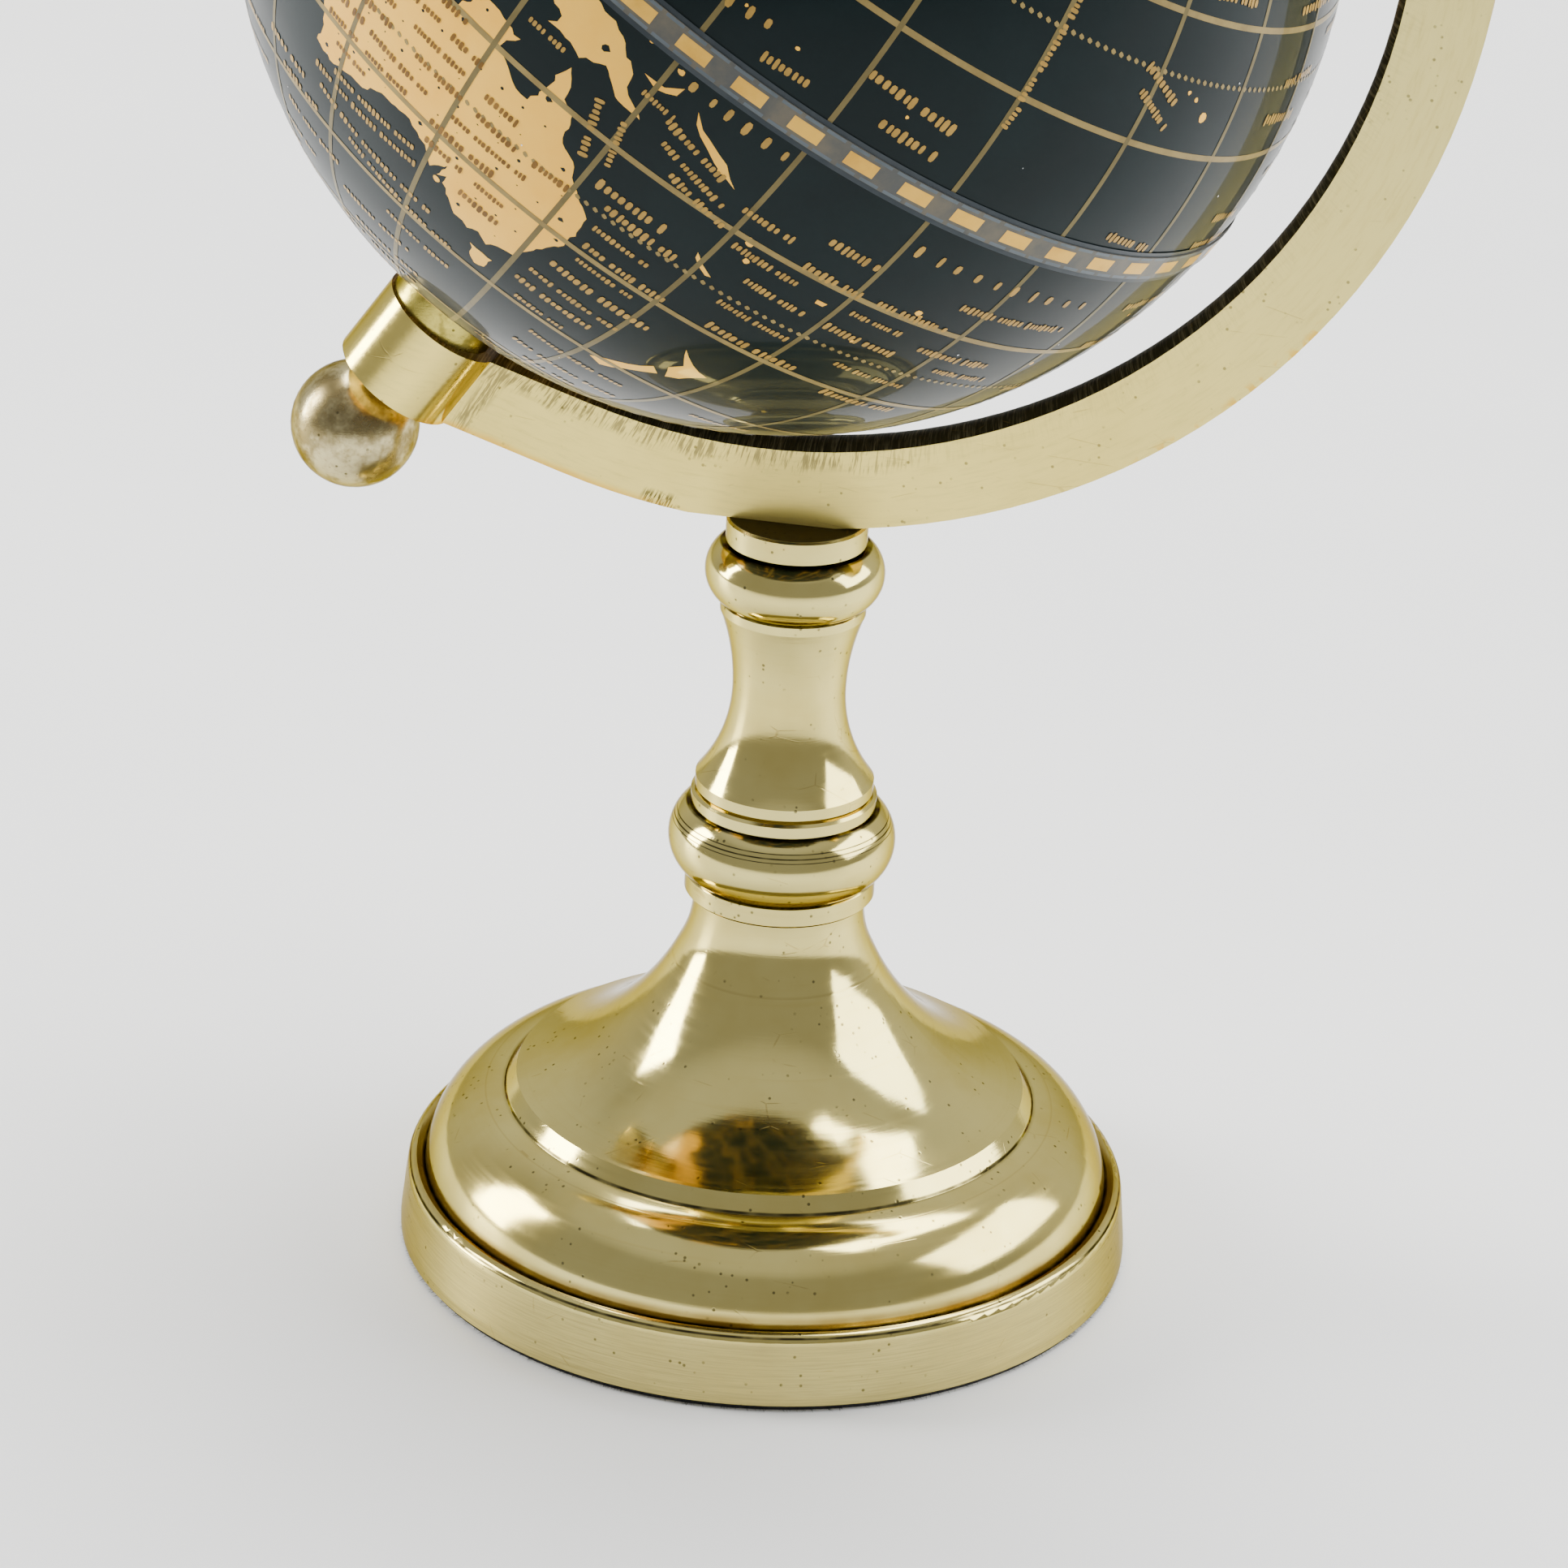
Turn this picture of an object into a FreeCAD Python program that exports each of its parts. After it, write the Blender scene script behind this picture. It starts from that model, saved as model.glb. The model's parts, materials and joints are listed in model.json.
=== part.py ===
import FreeCAD, Part
import math
import os

from FreeCAD import Placement, Rotation, Vector
import Sketcher

# Desk globe on a turned brass stand.  Millimetres.  Z is up, the pillar stands
# on the Z axis, the felt rests on z = 0 and the arm lies in the XZ plane.

SIZES = [
    # felt, closing disc and turned base
    ("felt_thickness", 1.0),
    ("felt_radius", 53.2),
    ("cover_top", 2.0),
    ("cover_radius", 49.6),
    ("foot_radius", 54.0),
    ("wall_bottom", 2.4),
    ("lip_radius", 53.2),
    ("lip_start", 10.4),
    ("lip_top", 11.9),
    ("lip_inner", 51.9),
    ("lip_bend", 1.7),
    ("gutter_radius", 50.6),
    ("gutter_height", 11.2),
    ("dome_radius", 39.2),
    ("dome_top", 23.5),
    ("dome_bend", 13.0),
    ("step_radius", 38.9),
    ("step_bottom", 24.0),
    ("step_inner", 37.5),
    ("step_top", 26.0),
    ("bell_foot", 37.0),
    ("bell_bottom", 26.2),
    ("bell_waist", 14.35),
    ("bell_turn", 47.8),
    ("bell_bend", 41.4),
    ("bell_neck", 12.6),
    ("bell_top", 56.7),
    ("neck_bend", 16.1),
    ("hollow_dome", 47.6),
    ("hollow_low", 11.0),
    ("hollow_step", 36.0),
    ("hollow_mid", 21.5),
    ("hollow_waist", 13.2),
    ("hollow_high", 43.0),
    ("hollow_bend", 44.0),
    # tie rod and its nut under the base
    ("rod_radius", 2.0),
    ("rod_passage", 2.2),
    ("rod_bottom", 34.0),
    ("rod_top", 121.3),
    ("washer_radius", 8.0),
    ("washer_thickness", 1.2),
    ("nut_across_flats", 7.0),
    ("nut_height", 3.2),
    # turned pillar
    ("collar_radius", 13.9),
    ("collar_top", 60.1),
    ("bead_end", 13.85),
    ("bead_top", 70.7),
    ("bead_bend", 6.55),
    ("band_radius", 13.5),
    ("band_top", 72.9),
    ("flare_radius", 12.95),
    ("flare_bottom", 73.4),
    ("flare_top", 75.0),
    ("waist_radius", 8.2),
    ("waist_height", 88.8),
    ("waist_low_bend", 22.6),
    ("waist_high_bend", 33.6),
    ("neck_radius", 10.5),
    ("neck_bottom", 101.0),
    ("neck_top", 102.7),
    ("crown_end", 10.6),
    ("crown_top", 111.4),
    ("crown_bend", 5.25),
    ("seat_radius", 10.15),
    ("seat_height", 115.3),
    ("edge_round", 0.4),
    # ball and its pole line
    ("ball_radius", 76.2),
    ("ball_side", -5.25),
    ("ball_height", 208.75),
    ("pole_tilt", 34.45),
    ("shell_inner", 74.4),
    ("pole_hole", 5.0),
    ("band_rise", 0.3),
    ("band_half", 1.9),
    ("joint_half", 5.0),
    ("joint_inner", 72.4),
    ("joint_edge", 74.23),
    ("tube_radius", 8.5),
    ("tube_bore", 6.5),
    ("tube_end", 71.8),
    ("bush_flange", 73.6),
    ("bush_top", 76.5),
    ("bush_bottom", 65.0),
    ("bush_bore", 2.06),
    # half-round arm
    ("arm_shift", -0.9),
    ("arm_lift", 2.25),
    ("arm_inner", 84.9),
    ("arm_outer", 96.4),
    ("arm_half", 3.3),
    ("arm_bow", 5.5),
    ("end_turn", 17.0),
    ("end_length", 23.9),
    ("boss_radius", 9.4),
    ("boss_side", 0.7),
    ("boss_inner", 85.6),
    ("boss_outer", 98.0),
    ("facing_depth", 2.5),
    ("tapped_depth", 6.0),
    ("seat_cut", 4.0),
    # pole fittings
    ("spacer_radius", 8.2),
    ("spacer_gap", 0.5),
    ("pole_washer_radius", 4.2),
    ("pole_washer_thickness", 0.8),
    ("finial_radius", 9.27),
    ("finial_neck", 4.2),
    ("finial_reach", 8.8),
    ("thread_depth", 6.0),
]

doc = FreeCAD.newDocument("desk_globe")
sheet = doc.addObject("Spreadsheet::Sheet", "sizes")
for row, (alias, number) in enumerate(SIZES, 1):
    sheet.set("A%d" % row, alias)
    sheet.set("B%d" % row, str(number))
    sheet.setAlias("B%d" % row, alias)
doc.recompute()


def add_up(terms):
    """Number for a sum of sheet names, such as 'ball_radius -arm_shift'."""
    total = 0.0
    for term in terms.split():
        sign = -1.0 if term.startswith("-") else 1.0
        total += sign * float(sheet.get(term.lstrip("-")))
    return total


def formula(terms):
    """Expression for the same sum."""
    text = ""
    for term in terms.split():
        text += " - " if term.startswith("-") else " + "
        text += "sizes." + term.lstrip("-")
    return text[3:] if text.startswith(" + ") else text.strip()


def new_body(label):
    body = doc.addObject("PartDesign::Body", label)
    body.Label = label
    return body


def plane_of(body, role):
    for feature in body.Origin.OriginFeatures:
        if feature.Role == role:
            return feature
    raise RuntimeError("no plane " + role)


def new_sketch(body, name, role):
    sketch = body.newObject("Sketcher::SketchObject", name)
    sketch.AttachmentSupport = [(plane_of(body, role), "")]
    sketch.MapMode = "FlatFace"
    return sketch


def pin(sketch, kind, first, second, terms, name):
    """Dimension from the sketch origin to a point, driven by the sheet."""
    if terms == "zero":
        axis = -2 if kind == "DistanceX" else -1
        sketch.addConstraint(Sketcher.Constraint("PointOnObject", first, second, axis))
        return
    number = add_up(terms)
    index = sketch.addConstraint(Sketcher.Constraint(kind, -1, 1, first, second, number))
    sketch.renameConstraint(index, name)
    sketch.setExpression("Constraints." + name, formula(terms))


def where(corner):
    x = 0.0 if corner[0] == "zero" else add_up(corner[0])
    y = 0.0 if corner[1] == "zero" else add_up(corner[1])
    return Vector(x, y, 0)


def outline(sketch, corners):
    """Closed outline of (x, y[, bend, side]) corners; side +1 turns left, -1 right."""
    count = len(corners)
    starts = []
    ends = []
    for number in range(count):
        corner = corners[number]
        start = where(corner)
        end = where(corners[(number + 1) % count])
        if len(corner) == 2:
            index = sketch.addGeometry(Part.LineSegment(start, end), False)
            starts.append((index, 1))
            ends.append((index, 2))
            continue
        radius = add_up(corner[2])
        side = corner[3]
        half = (end - start) * 0.5
        rise = math.sqrt(radius ** 2 - half.Length ** 2)
        across = Vector(-half.y, half.x, 0).normalize()
        centre = start + half + across * (rise * side)
        first, last = (start, end) if side > 0 else (end, start)
        begin = math.atan2(first.y - centre.y, first.x - centre.x)
        finish = math.atan2(last.y - centre.y, last.x - centre.x)
        circle = Part.Circle(centre, Vector(0, 0, 1), radius)
        index = sketch.addGeometry(Part.ArcOfCircle(circle, begin, finish), False)
        starts.append((index, 1 if side > 0 else 2))
        ends.append((index, 2 if side > 0 else 1))
        index_of_bend = sketch.addConstraint(Sketcher.Constraint("Radius", index, radius))
        sketch.renameConstraint(index_of_bend, "bend%d" % number)
        sketch.setExpression("Constraints.bend%d" % number, formula(corner[2]))
    for number in range(count):
        here = starts[(number + 1) % count]
        there = ends[number]
        sketch.addConstraint(Sketcher.Constraint("Coincident", there[0], there[1], here[0], here[1]))
    for number in range(count):
        index, point = starts[number]
        pin(sketch, "DistanceX", index, point, corners[number][0], "across%d" % number)
        pin(sketch, "DistanceY", index, point, corners[number][1], "up%d" % number)


def turn(body, name, corners):
    """Revolve an outline of (radius, height) corners about the body's Z axis."""
    sketch = new_sketch(body, name + "_outline", "XZ_Plane")
    outline(sketch, corners)
    feature = body.newObject("PartDesign::Revolution", name)
    feature.Profile = sketch
    feature.ReferenceAxis = (sketch, ["V_Axis"])
    feature.Angle = 360
    sketch.Visibility = False
    doc.recompute()
    return feature


def ring_sketch(body, name, centre_x, radius):
    """Circle on the XY plane."""
    sketch = new_sketch(body, name, "XY_Plane")
    x = 0.0 if centre_x == "zero" else add_up(centre_x)
    circle = Part.Circle(Vector(x, 0, 0), Vector(0, 0, 1), add_up(radius))
    sketch.addGeometry(circle, False)
    index = sketch.addConstraint(Sketcher.Constraint("Radius", 0, add_up(radius)))
    sketch.renameConstraint(index, "size")
    sketch.setExpression("Constraints.size", formula(radius))
    pin(sketch, "DistanceX", 0, 3, centre_x, "across")
    pin(sketch, "DistanceY", 0, 3, "zero", "up")
    return sketch


def lift(sketch, terms):
    """Raise a sketch above its plane by a sheet size."""
    sketch.AttachmentOffset = Placement(Vector(0, 0, add_up(terms)), Rotation())
    sketch.setExpression("AttachmentOffset.Base.z", formula(terms))


def extrude(body, kind, name, sketch, length, backwards=False):
    feature = body.newObject("PartDesign::" + kind, name)
    feature.Profile = sketch
    feature.Length = add_up(length)
    feature.setExpression("Length", formula(length))
    feature.Reversed = backwards
    sketch.Visibility = False
    doc.recompute()
    return feature


def set_on_pole(body):
    """Origin at the ball centre, Z along the pole line."""
    tilt = add_up("pole_tilt")
    place = Vector(add_up("ball_side"), 0, add_up("ball_height"))
    body.Placement = Placement(place, Rotation(Vector(0, 1, 0), tilt))
    body.setExpression("Placement.Base.x", "sizes.ball_side")
    body.setExpression("Placement.Base.z", "sizes.ball_height")
    body.setExpression("Placement.Rotation.Angle", "sizes.pole_tilt")
    doc.recompute()


# ---------------------------------------------------------------- stand

felt = new_body("felt_pad")
felt_disc = ring_sketch(felt, "felt_disc", "zero", "felt_radius")
extrude(felt, "Pad", "felt_sheet", felt_disc, "felt_thickness")

cover = new_body("base_cover")
cover_disc = ring_sketch(cover, "cover_disc", "zero", "cover_radius")
lift(cover_disc, "felt_thickness")
extrude(cover, "Pad", "cover_sheet", cover_disc, "cover_top -felt_thickness")

bell = new_body("base_bell")
turn(bell, "bell_turning", [
    ("cover_radius", "felt_thickness"),
    ("foot_radius", "felt_thickness"),
    ("foot_radius", "wall_bottom"),
    ("lip_radius", "lip_start", "lip_bend", 1),
    ("lip_inner", "lip_top"),
    ("gutter_radius", "gutter_height", "dome_bend", 1),
    ("dome_radius", "dome_top"),
    ("step_radius", "step_bottom"),
    ("step_inner", "step_top"),
    ("bell_foot", "bell_bottom", "bell_bend", -1),
    ("bell_waist", "bell_turn", "neck_bend", -1),
    ("bell_neck", "bell_top"),
    ("rod_passage", "bell_top"),
    ("rod_passage", "hollow_high"),
    ("hollow_waist", "hollow_high", "hollow_bend", 1),
    ("hollow_step", "hollow_mid"),
    ("hollow_dome", "hollow_low"),
    ("cover_radius", "hollow_low"),
])

rod = new_body("tie_rod")
rod_round = ring_sketch(rod, "rod_round", "zero", "rod_radius")
lift(rod_round, "rod_bottom")
extrude(rod, "Pad", "rod_bar", rod_round, "rod_top -rod_bottom")

base_washer = new_body("base_washer")
washer_disc = ring_sketch(base_washer, "washer_disc", "zero", "washer_radius")
lift(washer_disc, "hollow_high -washer_thickness")
extrude(base_washer, "Pad", "washer_sheet", washer_disc, "washer_thickness")
washer_hole = ring_sketch(base_washer, "washer_hole", "zero", "rod_passage")
lift(washer_hole, "hollow_high")
extrude(base_washer, "Pocket", "washer_bore", washer_hole, "washer_thickness")

base_nut = new_body("base_nut")
nut_sketch = new_sketch(base_nut, "nut_hexagon", "XY_Plane")
corner_reach = add_up("nut_across_flats") / math.sqrt(3)
for side in range(6):
    near = math.radians(60 * side)
    far = math.radians(60 * (side + 1))
    begin = Vector(corner_reach * math.cos(near), corner_reach * math.sin(near), 0)
    finish = Vector(corner_reach * math.cos(far), corner_reach * math.sin(far), 0)
    nut_sketch.addGeometry(Part.LineSegment(begin, finish), False)
nut_sketch.addGeometry(Part.Circle(Vector(0, 0, 0), Vector(0, 0, 1), corner_reach), True)
for side in range(6):
    following = (side + 1) % 6
    nut_sketch.addConstraint(Sketcher.Constraint("Coincident", side, 2, following, 1))
    nut_sketch.addConstraint(Sketcher.Constraint("PointOnObject", side, 1, 6))
    if side < 5:
        nut_sketch.addConstraint(Sketcher.Constraint("Equal", side, following))
nut_sketch.addConstraint(Sketcher.Constraint("Coincident", 6, 3, -1, 1))
nut_sketch.addConstraint(Sketcher.Constraint("PointOnObject", 0, 1, -1))
reach = nut_sketch.addConstraint(Sketcher.Constraint("Radius", 6, corner_reach))
nut_sketch.renameConstraint(reach, "reach")
nut_sketch.setExpression("Constraints.reach", "sizes.nut_across_flats / sqrt(3)")
lift(nut_sketch, "hollow_high -washer_thickness -nut_height")
extrude(base_nut, "Pad", "nut_block", nut_sketch, "nut_height")
nut_hole = ring_sketch(base_nut, "nut_hole", "zero", "rod_radius")
lift(nut_hole, "hollow_high -washer_thickness")
extrude(base_nut, "Pocket", "nut_bore", nut_hole, "nut_height")

collar = new_body("lower_collar")
turn(collar, "collar_turning", [
    ("rod_passage", "bell_top"),
    ("collar_radius -edge_round", "bell_top"),
    ("collar_radius", "bell_top edge_round"),
    ("collar_radius", "collar_top -edge_round"),
    ("collar_radius -edge_round", "collar_top"),
    ("rod_passage", "collar_top"),
])

bead = new_body("lower_bead")
turn(bead, "bead_turning", [
    ("rod_passage", "collar_top"),
    ("bead_end", "collar_top", "bead_bend", 1),
    ("bead_end", "bead_top"),
    ("rod_passage", "bead_top"),
])

waist = new_body("waist_column")
turn(waist, "waist_turning", [
    ("rod_passage", "bead_top"),
    ("band_radius", "bead_top"),
    ("band_radius", "band_top -edge_round"),
    ("band_radius -edge_round", "band_top"),
    ("flare_radius -edge_round", "band_top"),
    ("flare_radius", "flare_bottom"),
    ("flare_radius", "flare_top", "waist_low_bend", -1),
    ("waist_radius", "waist_height", "waist_high_bend", -1),
    ("neck_radius", "neck_bottom"),
    ("neck_radius", "neck_top -edge_round"),
    ("neck_radius -edge_round", "neck_top"),
    ("rod_passage", "neck_top"),
])

crown = new_body("upper_bead")
turn(crown, "crown_turning", [
    ("rod_passage", "neck_top"),
    ("crown_end", "neck_top", "crown_bend", 1),
    ("crown_end", "crown_top"),
    ("rod_passage", "crown_top"),
])

top_collar = new_body("top_collar")
turn(top_collar, "seat_turning", [
    ("rod_passage", "crown_top"),
    ("seat_radius -edge_round", "crown_top"),
    ("seat_radius", "crown_top edge_round"),
    ("seat_radius", "seat_height -edge_round"),
    ("seat_radius -edge_round", "seat_height"),
    ("rod_passage", "seat_height"),
])

# The arm's own origin is the centre of its curve, with Z along the pole line.
arm = new_body("meridian_arm")
tilt = math.radians(add_up("pole_tilt"))
shift = add_up("arm_shift")
rise = add_up("arm_lift")
arm_side = add_up("ball_side") + shift * math.cos(tilt) + rise * math.sin(tilt)
arm_height = add_up("ball_height") - shift * math.sin(tilt) + rise * math.cos(tilt)
arm.Placement = Placement(Vector(arm_side, 0, arm_height), Rotation(Vector(0, 1, 0), math.degrees(tilt)))
turned_shift = "sizes.arm_shift * %s(sizes.pole_tilt * 1deg)"
turned_lift = "sizes.arm_lift * %s(sizes.pole_tilt * 1deg)"
arm.setExpression("Placement.Base.x",
                  "sizes.ball_side + " + turned_shift % "cos" + " + " + turned_lift % "sin")
arm.setExpression("Placement.Base.z",
                  "sizes.ball_height - " + turned_shift % "sin" + " + " + turned_lift % "cos")
arm.setExpression("Placement.Rotation.Angle", "sizes.pole_tilt")


def bar_sketch(name):
    """Cross-section of the arm, drawn to the right of its centre, with a bowed inner side."""
    section = new_sketch(arm, name, "XY_Plane")
    outline(section, [
        ("arm_inner", "-arm_half"),
        ("arm_outer", "-arm_half"),
        ("arm_outer", "arm_half"),
        ("arm_inner", "arm_half", "arm_bow", 1),
    ])
    return section


curve = bar_sketch("arm_section")
sweep = arm.newObject("PartDesign::Revolution", "arm_sweep")
sweep.Profile = curve
sweep.ReferenceAxis = (curve, ["V_Axis"])
sweep.Midplane = True
sweep.Angle = 180 - 2 * add_up("end_turn")
sweep.setExpression("Angle", "180 - 2 * sizes.end_turn")
curve.Visibility = False
doc.recompute()

# Each end runs on straight into a round boss, faced flat inside and outside.
POLES = (("north", "", False), ("south", "-", True))
for pole, sign, backwards in POLES:
    end = bar_sketch(pole + "_end_section")
    swing = Rotation(Vector(0, 1 if backwards else -1, 0), 90 - add_up("end_turn"))
    end.AttachmentOffset = Placement(Vector(0, 0, 0), swing)
    end.setExpression("AttachmentOffset.Rotation.Angle", "90 - sizes.end_turn")
    extrude(arm, "Pad", pole + "_end", end, "end_length", backwards)
for pole, sign, backwards in POLES:
    boss_round = ring_sketch(arm, pole + "_boss_round", "boss_side -arm_shift", "boss_radius")
    lift(boss_round, sign + "boss_inner")
    extrude(arm, "Pad", pole + "_boss", boss_round, "boss_outer -boss_inner", backwards)
for pole, sign, backwards in POLES:
    inner_face = ring_sketch(arm, pole + "_inner_face", "boss_side -arm_shift", "boss_radius")
    lift(inner_face, sign + "boss_inner")
    extrude(arm, "Pocket", pole + "_inner_facing", inner_face, "facing_depth", backwards)
    outer_face = ring_sketch(arm, pole + "_outer_face", "boss_side -arm_shift", "boss_radius")
    lift(outer_face, sign + "boss_outer")
    extrude(arm, "Pocket", pole + "_outer_facing", outer_face, "facing_depth", not backwards)
for pole, sign, backwards in POLES:
    boss_hole = ring_sketch(arm, pole + "_boss_hole", "-arm_shift", "rod_radius")
    lift(boss_hole, sign + "boss_outer")
    extrude(arm, "Pocket", pole + "_boss_bore", boss_hole, "boss_outer -boss_inner", backwards)

# The pillar meets the arm on a flat, square to the pillar.
upright = Rotation(Vector(0, 1, 0), -math.degrees(tilt))
seat_point = upright.multVec(Vector(-arm_side, 0, add_up("seat_height") - arm_height))
flat = new_sketch(arm, "seat_flat", "XY_Plane")
reach = Vector(add_up("boss_radius") * 4, add_up("arm_half") * 2, 0)
flat_corners = [
    Vector(-reach.x, -reach.y, 0),
    Vector(reach.x, -reach.y, 0),
    Vector(reach.x, reach.y, 0),
    Vector(-reach.x, reach.y, 0),
]
for side in range(4):
    flat.addGeometry(Part.LineSegment(flat_corners[side], flat_corners[(side + 1) % 4]), False)
for side in range(4):
    flat.addConstraint(Sketcher.Constraint("Coincident", side, 2, (side + 1) % 4, 1))
for side, direction in enumerate(("Horizontal", "Vertical", "Horizontal", "Vertical")):
    flat.addConstraint(Sketcher.Constraint(direction, side))
flat.addConstraint(Sketcher.Constraint("Symmetric", 0, 1, 1, 2, -1, 1))
for kind, name, size in (("DistanceX", "length", reach.x), ("DistanceY", "width", reach.y)):
    index = flat.addConstraint(Sketcher.Constraint(kind, 0, 1, 1, 2, 2 * size))
    flat.renameConstraint(index, name)
flat.setExpression("Constraints.length", "sizes.boss_radius * 8")
flat.setExpression("Constraints.width", "sizes.arm_half * 4")
flat.AttachmentOffset = Placement(seat_point, upright)
extrude(arm, "Pocket", "seat_facing", flat, "seat_cut")
tapping = ring_sketch(arm, "tapped_round", "zero", "rod_radius")
tapping.AttachmentOffset = Placement(seat_point, upright)
extrude(arm, "Pocket", "tapped_hole", tapping, "tapped_depth", True)

# Spacers fill the arm's inside face to just short of the ball's bushing.
for pole, sign, backwards in POLES:
    spacer = new_body(pole + "_spacer")
    start = sign + "bush_top " + sign + "spacer_gap"
    height = "boss_inner " + sign + "arm_lift -bush_top -spacer_gap"
    disc = ring_sketch(spacer, pole + "_spacer_disc", "zero", "spacer_radius")
    lift(disc, start)
    extrude(spacer, "Pad", pole + "_spacer_block", disc, height, backwards)
    hole = ring_sketch(spacer, pole + "_spacer_hole", "zero", "rod_radius")
    lift(hole, start)
    extrude(spacer, "Pocket", pole + "_spacer_bore", hole, height, not backwards)
    set_on_pole(spacer)

axle = new_body("axle_rod")
axle_round = ring_sketch(axle, "axle_round", "zero", "rod_radius")
south_end = "-boss_outer arm_lift -pole_washer_thickness -thread_depth"
lift(axle_round, south_end)
extrude(axle, "Pad", "axle_bar", axle_round, "boss_outer boss_outer pole_washer_thickness "
        "pole_washer_thickness thread_depth thread_depth")
set_on_pole(axle)


def loose_pair(label, make):
    """Two equal pieces, one at each pole, kept as one part."""
    tilt_turn = Rotation(Vector(0, 1, 0), add_up("pole_tilt"))
    place = Placement(Vector(add_up("ball_side"), 0, add_up("ball_height")), tilt_turn)
    south = make()
    south.rotate(Vector(0, 0, 0), Vector(0, 1, 0), 180)
    south.translate(Vector(0, 0, -add_up("boss_outer -arm_lift")))
    north = make()
    north.translate(Vector(0, 0, add_up("boss_outer arm_lift")))
    pair = doc.addObject("Part::Feature", label)
    pair.Label = label
    pair.Shape = Part.makeCompound([south, north])
    pair.Placement = place
    return pair


def washer_shape():
    thickness = add_up("pole_washer_thickness")
    disc = Part.makeCylinder(add_up("pole_washer_radius"), thickness)
    return disc.cut(Part.makeCylinder(add_up("rod_radius"), thickness))


def finial_shape():
    bottom = add_up("pole_washer_thickness")
    centre = bottom + add_up("finial_reach")
    knob = Part.makeSphere(add_up("finial_radius"), Vector(0, 0, centre))
    neck = Part.makeCylinder(add_up("finial_neck"), add_up("finial_reach"), Vector(0, 0, bottom))
    thread = Part.makeCylinder(add_up("rod_radius"), add_up("thread_depth"), Vector(0, 0, bottom))
    below = Part.makeCylinder(add_up("finial_radius"), add_up("finial_radius"),
                              Vector(0, 0, bottom - add_up("finial_radius")))
    return knob.fuse(neck).cut(thread).cut(below).removeSplitter().Solids[0]


loose_pair("pole_washers", washer_shape)
loose_pair("finial_nuts", finial_shape)

# ---------------------------------------------------------------- ball


def shell_corners(sign):
    """Quarter ring from the equator to the pole."""
    side = 1 if sign == "" else -1
    return [
        ("ball_radius", "zero", "ball_radius", side),
        ("zero", sign + "ball_radius"),
        ("zero", sign + "shell_inner", "shell_inner", -side),
        ("shell_inner", "zero"),
    ]


for pole, sign, backwards in POLES:
    shell = new_body("globe_shell_" + pole)
    turn(shell, pole + "_shell", shell_corners(sign))
    hole = ring_sketch(shell, pole + "_pole_hole", "zero", "pole_hole")
    extrude(shell, "Pocket", pole + "_pole_bore", hole, "ball_radius", not backwards)
    set_on_pole(shell)

equator = new_body("equator_band")
turn(equator, "equator_turning", [
    ("ball_radius", "-band_half"),
    ("ball_radius band_rise", "-band_half"),
    ("ball_radius band_rise", "band_half"),
    ("ball_radius", "band_half"),
])
set_on_pole(equator)

joint = new_body("joining_ring")
turn(joint, "joint_turning", [
    ("joint_inner", "-joint_half"),
    ("joint_edge", "-joint_half", "shell_inner", 1),
    ("joint_edge", "joint_half"),
    ("joint_inner", "joint_half"),
])
set_on_pole(joint)

tube = new_body("core_tube")
tube_round = ring_sketch(tube, "tube_round", "zero", "tube_radius")
lift(tube_round, "-tube_end")
extrude(tube, "Pad", "tube_wall", tube_round, "tube_end tube_end")
tube_hole = ring_sketch(tube, "tube_hole", "zero", "tube_bore")
lift(tube_hole, "tube_end")
extrude(tube, "Pocket", "tube_opening", tube_hole, "tube_end tube_end")
set_on_pole(tube)

for pole, sign, backwards in POLES:
    bushing = new_body(pole + "_bushing")
    turn(bushing, pole + "_bushing_turning", [
        ("bush_bore", sign + "bush_bottom"),
        ("tube_bore", sign + "bush_bottom"),
        ("tube_bore", sign + "tube_end"),
        ("tube_radius", sign + "tube_end"),
        ("tube_radius", sign + "bush_flange"),
        ("pole_hole", sign + "bush_flange"),
        ("pole_hole", sign + "bush_top"),
        ("bush_bore", sign + "bush_top"),
    ])
    set_on_pole(bushing)

# ---------------------------------------------------------------- write

doc.recompute()
for thing in doc.Objects:
    if "Invalid" in thing.State or "Error" in thing.State:
        raise RuntimeError("failed: " + thing.Name + " " + str(thing.State))

os.makedirs("parts", exist_ok=True)
pieces = [thing for thing in doc.Objects if thing.isDerivedFrom("PartDesign::Body")]
pieces += [thing for thing in doc.Objects if thing.TypeId == "Part::Feature"]
for piece in pieces:
    shape = piece.Shape
    if shape.isNull() or not shape.isValid():
        raise RuntimeError("bad shape: " + piece.Label)
    shape.exportStep(os.path.join("parts", piece.Label + ".step"))
    box = shape.BoundBox
    print("%-18s %d solid  %8.0f mm3  z %.2f to %.2f  x %.2f to %.2f"
          % (piece.Label, len(shape.Solids), shape.Volume, box.ZMin, box.ZMax, box.XMin, box.XMax))
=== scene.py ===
import json
import math
import random

import bpy
from mathutils import Euler, Matrix, Vector, noise
from mathutils.geometry import delaunay_2d_cdt


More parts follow.
